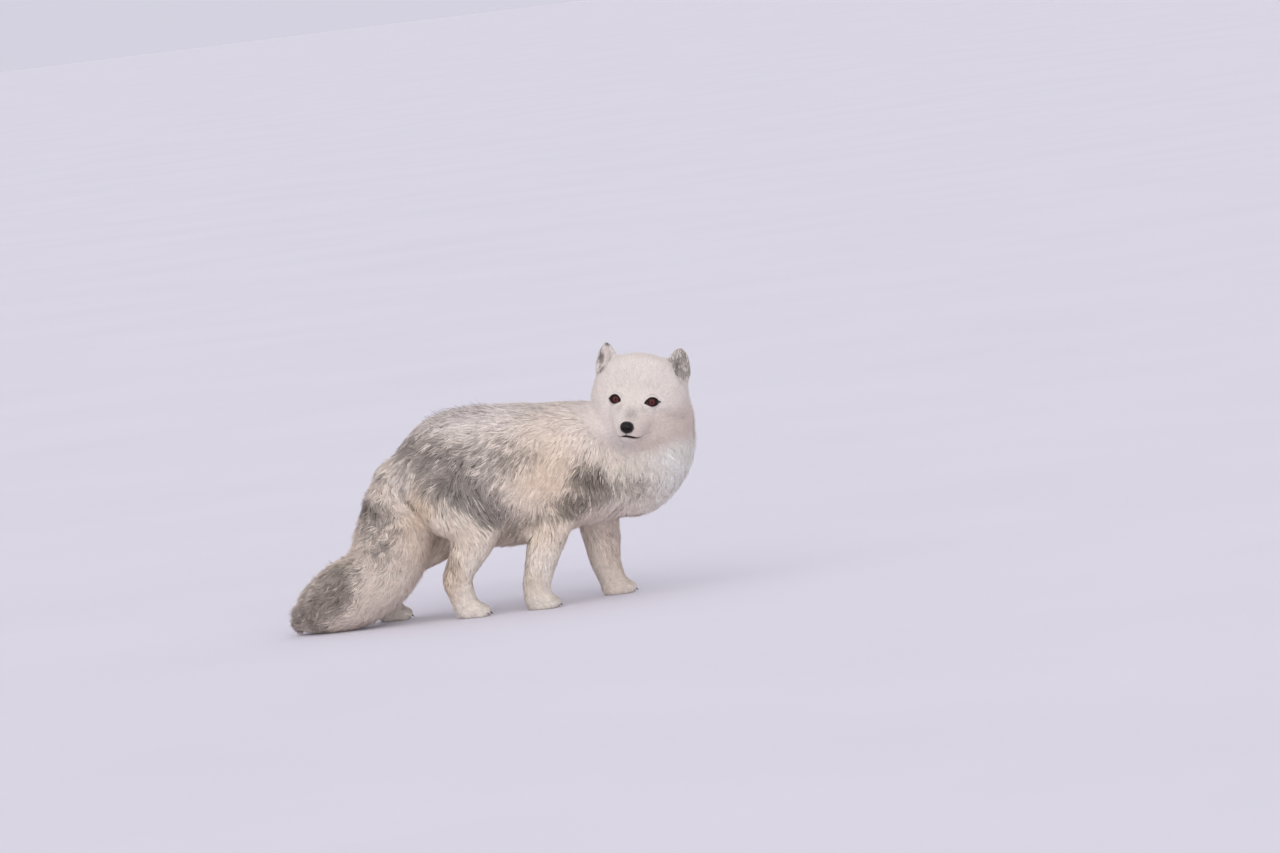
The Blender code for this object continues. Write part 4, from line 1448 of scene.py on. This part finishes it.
def add_lids(side, tree, material):
    """Upper and lower lid with their dark rims, from the eyeball out to below the skin."""
    axis, left, up = lid_axes(side)
    turn = np.arange(88) * math.tau / 88
    inner, outer = np.clip(np.cos(turn), 0, 1) ** 7, np.clip(-np.cos(turn), 0, 1) ** 30
    drawn_in, drawn_out = LID_CORNERS[side]
    across = LID_WIDTH[side] * np.cos(turn) * (1 + drawn_in * inner + drawn_out * outer)
    height = np.where(np.sin(turn) > 0, LID_ABOVE, LID_BELOW)
    over = height * np.sin(turn) * np.abs(np.sin(turn)) ** 0.2 - 1.3 * inner + 0.2 * outer
    flat = (across * -SIDES[side])[:, None] * left + over[:, None] * up
    rings = []
    haw = np.clip(np.cos(turn), 0, 1) ** 2 * HAW
    for size, above in LID_RINGS:
        offset = flat * (size - haw * (above < 0))[:, None]
        ball = np.sqrt(np.clip((EYE_RADIUS + above) ** 2 - np.sum(offset**2, axis=1), 0, None))
        ball = np.maximum(ball, skin_height(tree, side, offset, axis) + max(above, 0.3))
        rings.append(EYES[side] + offset + axis * ball[:, None])
    edge = (rings[-1] - EYES[side]) @ axis
    for size, drop, under in LID_SKIRT:
        offset = flat * size
        level = np.maximum(skin_height(tree, side, offset, axis) - under, edge - drop)
        rings.append(EYES[side] + offset + axis * np.minimum(level, edge + 1.5)[:, None])
    grid = np.array(rings)
    if side == "left":
        grid, turn = grid[:, ::-1], turn[::-1]
    points, faces = wrapped(grid)
    piece = add_mesh("lids_" + side, from_head(points), faces, "coat_head", material)
    rosy = np.clip(-np.sin(turn), 0, 1)[None, :, None] * np.array(LID_ROSY)[:, None, None]
    rim = mixed(LID_DARK, LID_PINK, rosy)
    paint(piece, mixed(HEAD_WHITE, rim, np.array(LID_DARKNESS)[:, None, None]))
    return grid


CORNER_BARE = 6  # columns of the lids on either side of the inner corner that have no hair
LID_HAIRS, QUICK_LID_HAIRS = 2200, 400
LID_HAIR_SEEDS = {"left": 31, "right": 32}


def add_lid_hair(side, grid, material):
    """Short hair on the lids, lying away from the eye."""
    draws = np.random.default_rng(LID_HAIR_SEEDS[side])
    count = LID_HAIRS
    columns = grid.shape[1]
    row = 3.15 + 2.55 * draws.random(count)
    column = CORNER_BARE + draws.random(count) * (columns - 2 * CORNER_BARE)

    def on_lid(row):
        low, left = np.minimum(row.astype(int), 5), column.astype(int)
        down, aside = (row - low)[:, None], (column - left)[:, None]
        right = (left + 1) % columns
        upper = mixed(grid[low, left], grid[low, right], aside)
        lower = mixed(grid[low + 1, left], grid[low + 1, right], aside)
        return mixed(upper, lower, down)

    root, below = on_lid(row), on_lid(np.minimum(row + 0.25, 6.0))
    out = unit(root - EYES[side])
    way = unit(unit(below - root) + np.array((-0.35, 0, 0.1)) + draws.normal(0, 0.12, (count, 3)))
    way = unit(way - out * np.maximum(0, np.sum(way * out, axis=1, keepdims=True)) * 0.8)
    reach = way * draws.uniform(1.8, 3.4, count)[:, None]
    middle, tip = root + reach * 0.5 + out * 0.35, root + reach + out * 0.2
    lines = from_head(np.stack([root - out * 0.3, middle, tip], 1))
    ups = np.repeat((out @ HEAD_AXES)[:, None], 3, axis=1)
    points, faces, own = spikes(lines, np.full((count, 1), 0.5 * MM), ups, TUFT_FLAT)
    piece = add_mesh("coat_lid_" + side, points.reshape(-1, 3), faces, "coat_head", material)
    soften(piece, own, lines, ups, SOFTNESS)
    paint(piece, np.repeat(HEAD_WHITE * draws.normal(1, 0.04, (count, 1)), points.shape[1], axis=0))
    add_bake_map(piece, filled_square(np.column_stack([column, row])), 1)


NOSE_RADII = (8.0, 9.5, 8.2)


def nose_material():
    """Wet black leather with its pebbles."""
    material, tree, shader = new_material("nose_leather")
    place = add_node(tree, "TexCoord", {}).outputs["Object"]
    cells = add_node(tree, "TexVoronoi", {"Scale": 1500, "Vector": place})
    mottled = noise(tree, 500)
    black = add_node(tree, "ValToRGB", {"Fac": mottled})
    black.color_ramp.elements[0].color = (0.006, 0.005, 0.006, 1)
    black.color_ramp.elements[1].color = (0.018, 0.015, 0.016, 1)
    inputs = {
        "Base Color": black.outputs["Color"],
        "Roughness": ranged(tree, mottled, 0.3, 0.5),
        "Specular IOR Level": 0.1,
        "Coat Weight": 0.20,
        "Coat Roughness": 0.06,
        "Normal": bump(tree, cells.outputs["Distance"], 0.8, 0.3),
    }
    connect(tree, shader, inputs)
    return material


def dip(across, over):
    """1 at a spot and 0 away from it, by how far off it is across and over in half-sizes of the spot."""
    return np.exp(-(across**2) - over**2)


def add_nose(material):
    """The nose leather, with nostrils and the groove between them."""
    lean = np.concatenate([np.linspace(0.03, 1.9, 70), np.linspace(1.95, math.pi - 0.05, 14)])[:, None]
    turn = np.arange(110) * math.tau / 110
    ball = (np.cos(lean) * np.ones_like(turn), np.sin(lean) * np.cos(turn), np.sin(lean) * np.sin(turn))
    shape = np.stack(ball, -1)
    shape = np.sign(shape) * np.abs(shape) ** 0.9 * NOSE_RADII
    shape[..., 1] *= 1 - 0.30 * np.clip(-shape[..., 2] / NOSE_RADII[2], 0, 1) ** 1.4
    wide, high = np.abs(shape[..., 1]), shape[..., 2]
    hole = 2.6 * dip((wide - 4.3) / 1.7, (high + 0.7) / 1.35)
    slit = 1.7 * dip((wide - 6.9) / 1.5, (high + 2.4 - (wide - 6.9) * 0.3) / 0.75)
    groove = 0.9 * dip(wide / 0.55, 0) * (1 - smooth(high, 0.5, 4.0))
    wing = 0.5 * dip((wide - 5.0) / 2.6, (high - 1.9) / 1.1)
    inward = (hole + slit + groove - wing) * smooth(shape[..., 0], -2.0, 2.0)
    shape = shape - (unit(shape) + (0.6, 0, 0)) * inward[..., None]
    points, faces = wrapped(shape, (NOSE_RADII[0] - 0.9, 0, 0), (-NOSE_RADII[0], 0, 0))
    piece = add_mesh("nose_leather", from_head(points + NOSE_AT), faces, "nose", material)
    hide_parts("nose")


# The line of the mouth, from the middle under the nose back along the left cheek, and how thick it is, in mm.
MOUTH = (
    (51.0, 0.0, -38.8),
    (49.8, 5.0, -39.4),
    (47.0, 10.5, -40.3),
    (40.0, 15.0, -42.0),
    (28.0, 18.0, -44.0),
    (18.0, 22.0, -43.5),
    (11.0, 29.0, -40.5),
)
MOUTH_RADII = (1.45, 1.35, 0.85, 0.5, 0.4, 0.28, 0.10)
LIP_BLACK, LIP_FADED = (0.016, 0.012, 0.012), (0.24, 0.18, 0.165)
LIP_FADES = {1: (0.14, 0.46), -1: (0.05, 0.20)}  # the part of each side's line over which the black fades
LIP_THINNER = {1: 0.25, -1: 0.9}  # how much thinner it is where the black has faded
CLEFT = ((53.0, 0, -33.6), (52.3, 0, -36.0), (51.0, 0, -38.6))  # from the nose down to the mouth
CLEFT_RADIUS, CLEFT_FADE = 0.42, 0.3
LIP_POINTS, LIP_COLUMNS = 36, 8


def add_mouth(tree, material):
    """Black lips in a line under the nose, fading along each cheek, and the cleft above them."""
    lines, radii, fades = [], [], []
    t = np.linspace(0, 1, LIP_POINTS)
    for sign in SIDES.values():
        line = mirrored(drawn_line(MOUTH, LIP_POINTS), sign)
        for i, spot in enumerate(from_head(line)):
            place, normal, _, _ = tree.find_nearest(spot.tolist())
            line[i] = to_head(np.array(place) + np.array(normal) * 0.15 * MM)
        lines.append(eased(line, 2))
        fades.append(smooth(t, *LIP_FADES[sign]))
        thick = np.interp(t, np.linspace(0, 1, len(MOUTH_RADII)), MOUTH_RADII)
        radii.append(thick * (1 - LIP_THINNER[sign] * fades[-1]))
    lines.append(drawn_line(CLEFT, LIP_POINTS))
    radii.append(np.full(LIP_POINTS, CLEFT_RADIUS))
    fades.append(np.full(LIP_POINTS, CLEFT_FADE))
    lines = from_head(np.array(lines))
    ups = np.broadcast_to(HEAD_AXES[0] + HEAD_AXES[1] * 0.01, lines.shape)
    points, faces = tubes(lines, np.array(radii) * MM, ups, LIP_COLUMNS)
    piece = add_mesh("lips", points, faces, "nose", material)
    shares = [np.concatenate([np.repeat(fade, LIP_COLUMNS), fade[:1], fade[-1:]]) for fade in fades]
    paint(piece, mixed(LIP_BLACK, LIP_FADED, np.concatenate(shares)[:, None]))


WHISKER = (0.75, 0.72, 0.69)


def add_whiskers(material):
    """Pale whiskers on either side of the muzzle."""
    draws = np.random.default_rng(7)
    lines = []
    t = np.linspace(0, 1, 9)
    for sign, row, place in itertools.product(SIDES.values(), range(3), range(4)):
        root = np.array((44.0 - place * 3.6, sign * (10.5 + place * 0.9), -30.0 - row * 2.8))
        way = np.array((-0.15 - place * 0.12, sign * 0.95, -0.18 - row * 0.12)) + draws.normal(0, 0.05, 3)
        length = draws.uniform(22, 30) + place * 4
        droop = np.array((-0.45, 0, -0.25)) * length
        lines.append(root + unit(way) * (t * length)[:, None] + droop * (t**2)[:, None] * 0.5)
    lines = from_head(np.array(lines))
    radii = np.broadcast_to((1 - t * 0.92) * 0.16 * MM, lines.shape[:2])
    points, faces = tubes(lines, radii, np.broadcast_to(HEAD_AXES[0], lines.shape), 4)
    paint(add_mesh("whiskers", points, faces, "coat_head", material), WHISKER)


CLAW_LENGTH, CLAW_RADIUS, TOE_SPREAD = 9.0, 1.25, 8.4
CLAW_BACK, CLAW_HEIGHT, CLAW_DROP = 7.0, 7.4, 5.6  # behind the front of the paw, over the floor, and its bend
HORN = (0.085, 0.068, 0.055)


def add_claws(material):
    """Four dark claws at the front of each paw, which just show under the hair."""
    lines = []
    t = np.linspace(0, 1, 8)
    for paw, side in itertools.product(PAWS.values(), SIDES):
        low, high = (np.array(corner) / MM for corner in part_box(paw + "_" + side))
        middle = (low[1] + high[1]) / 2
        for toe in (-1.5, -0.5, 0.5, 1.5):
            front = high[0] - CLAW_BACK - abs(toe) ** 1.6 * 2.6
            root = np.array((front, middle + toe * TOE_SPREAD, CLAW_HEIGHT))
            lines.append(root + np.column_stack([t * CLAW_LENGTH, t * 0, -(t**2) * CLAW_DROP]))
    lines = np.array(lines) * MM
    radii = np.broadcast_to(CLAW_RADIUS * (1 - t**1.5 * 0.88) * MM, lines.shape[:2])
    points, faces = tubes(lines, radii, np.broadcast_to((0, 0, 1.0), lines.shape), 8)
    paint(add_mesh("claws", points, faces, "coat_leg", material), HORN)


GUARD_HAIRS, QUICK_GUARD_HAIRS = 300, 90
GUARD_PLACE = (-95, 22)  # mm along the back


def add_guard_hairs(net, material):
    """Long thin dark hairs that stand up behind the highest part of the back."""
    draws = np.random.default_rng(9)
    place = net.outline / MM
    good = (place[:, 0] > GUARD_PLACE[0]) & (place[:, 0] < GUARD_PLACE[1])
    good &= (net.normal_out[:, 2] > 0.82) & on(net.region, "trunk")
    count = GUARD_HAIRS
    chosen = draws.choice(np.flatnonzero(good), count)
    root = net.outline[chosen] - net.normal_out[chosen] * 5 * MM
    length = draws.uniform(13, 25, count) * MM * smooth(place[chosen, 0], -105, -50)
    back, aside = draws.normal(-0.85, 0.2, count), draws.normal(0, 0.22, count)
    lean = unit(np.column_stack([back, aside, np.full(count, 0.62)])) * length[:, None]
    t = np.linspace(0, 1, 4)
    lines = root[:, None] + lean[:, None] * t[None, :, None]
    lines[..., 2] -= (length * 0.16)[:, None] * t**2
    widths = np.broadcast_to(np.array((0.55, 0.4)) * MM, (count, 2))
    points, faces, _ = spikes(lines, widths, np.broadcast_to((0.6, 0, 0.8), lines.shape), 0.5)
    piece = add_mesh("coat_guard_hairs", points.reshape(-1, 3), faces, "coat_body", material)
    shade = np.repeat(draws.uniform(0, 1, (count, 1)) ** 2, points.shape[1], axis=0)
    paint(piece, mixed(DARK, CREAM, shade))
    add_bake_map(piece, filled_square(place[chosen][:, (1, 0)]), 2)


# ---------------------------------------------------------------- the whole fox


def colour_skin(net):
    """The pale colour, the marks and the browner marks at each point of the skin, painted shade among them.
    """
    region, outline = net.region, net.outline
    pale = net.spread(tinted(outline, region, pale_colour(outline, region)), 14)
    net.pale = pale * (1 + 0.03 * blotches(outline, 26 * MM, 3))[:, None]
    dark, brown = dark_share(outline, region)
    patchy = 1 + 0.18 * blotches(outline, 11 * MM, 1) + 0.22 * blotches(outline, 5 * MM, 2)
    dark = net.spread(dark * patchy, 2) + face_marks(outline, net.normal_out, region)
    net.dark = np.clip(dark, 0, 1)
    net.brown = np.clip(brown + 0.8 * on(region, "ear"), 0, 1)


def add_skin(net):
    """The skin under the coat, in place of all the solids of flesh."""
    inputs = {"Roughness": 0.8, "Specular IOR Level": 0.2}
    material = flecked("skin", (900, 4, 0.85, 1.08), inputs, (0.6, 0.6))
    piece = add_mesh("skin", net.points, net.quads, "coat_body", material)
    marked = mixed(net.pale, mixed(GREY, DARK, net.brown[:, None]), net.dark[:, None])
    paint(piece, mixed(marked, LID_DARK, bare_share(to_head(net.points))[:, None]))
    flesh = [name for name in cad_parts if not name.startswith("eye_") and name != "nose"]
    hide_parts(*flesh)


add_camera()
add_light()
fox = make_skin()
colour_skin(fox)
add_skin(fox)
add_coat(fox)
skin_tree = fox.tree(fox.points)
eye_gloss = {"Roughness": 0.3, "Specular IOR Level": 0.06, "Coat Weight": 0.15, "Coat Roughness": 0.02}
eye_glass = flecked("eye", (2200, 4, 0.75, 1.25), eye_gloss)
lid_skin = bare_material("lid_skin", 0.6, 1800)
lid_hair = hair_material("coat_lids", 420)
for eye_side in SIDES:
    add_eye(eye_side, eye_glass)
    add_lid_hair(eye_side, add_lids(eye_side, skin_tree, lid_skin), lid_hair)
add_nose(nose_material())
add_mouth(fox.tree(fox.outline), bare_material("lip_skin", 0.5, 1500, 0.05))
add_whiskers(bare_material("whisker", 0.4, 900))
add_claws(bare_material("claw_horn", 0.35, 700, 0.2))
add_guard_hairs(fox, hair_material("coat_guard", 300))
add_floor()
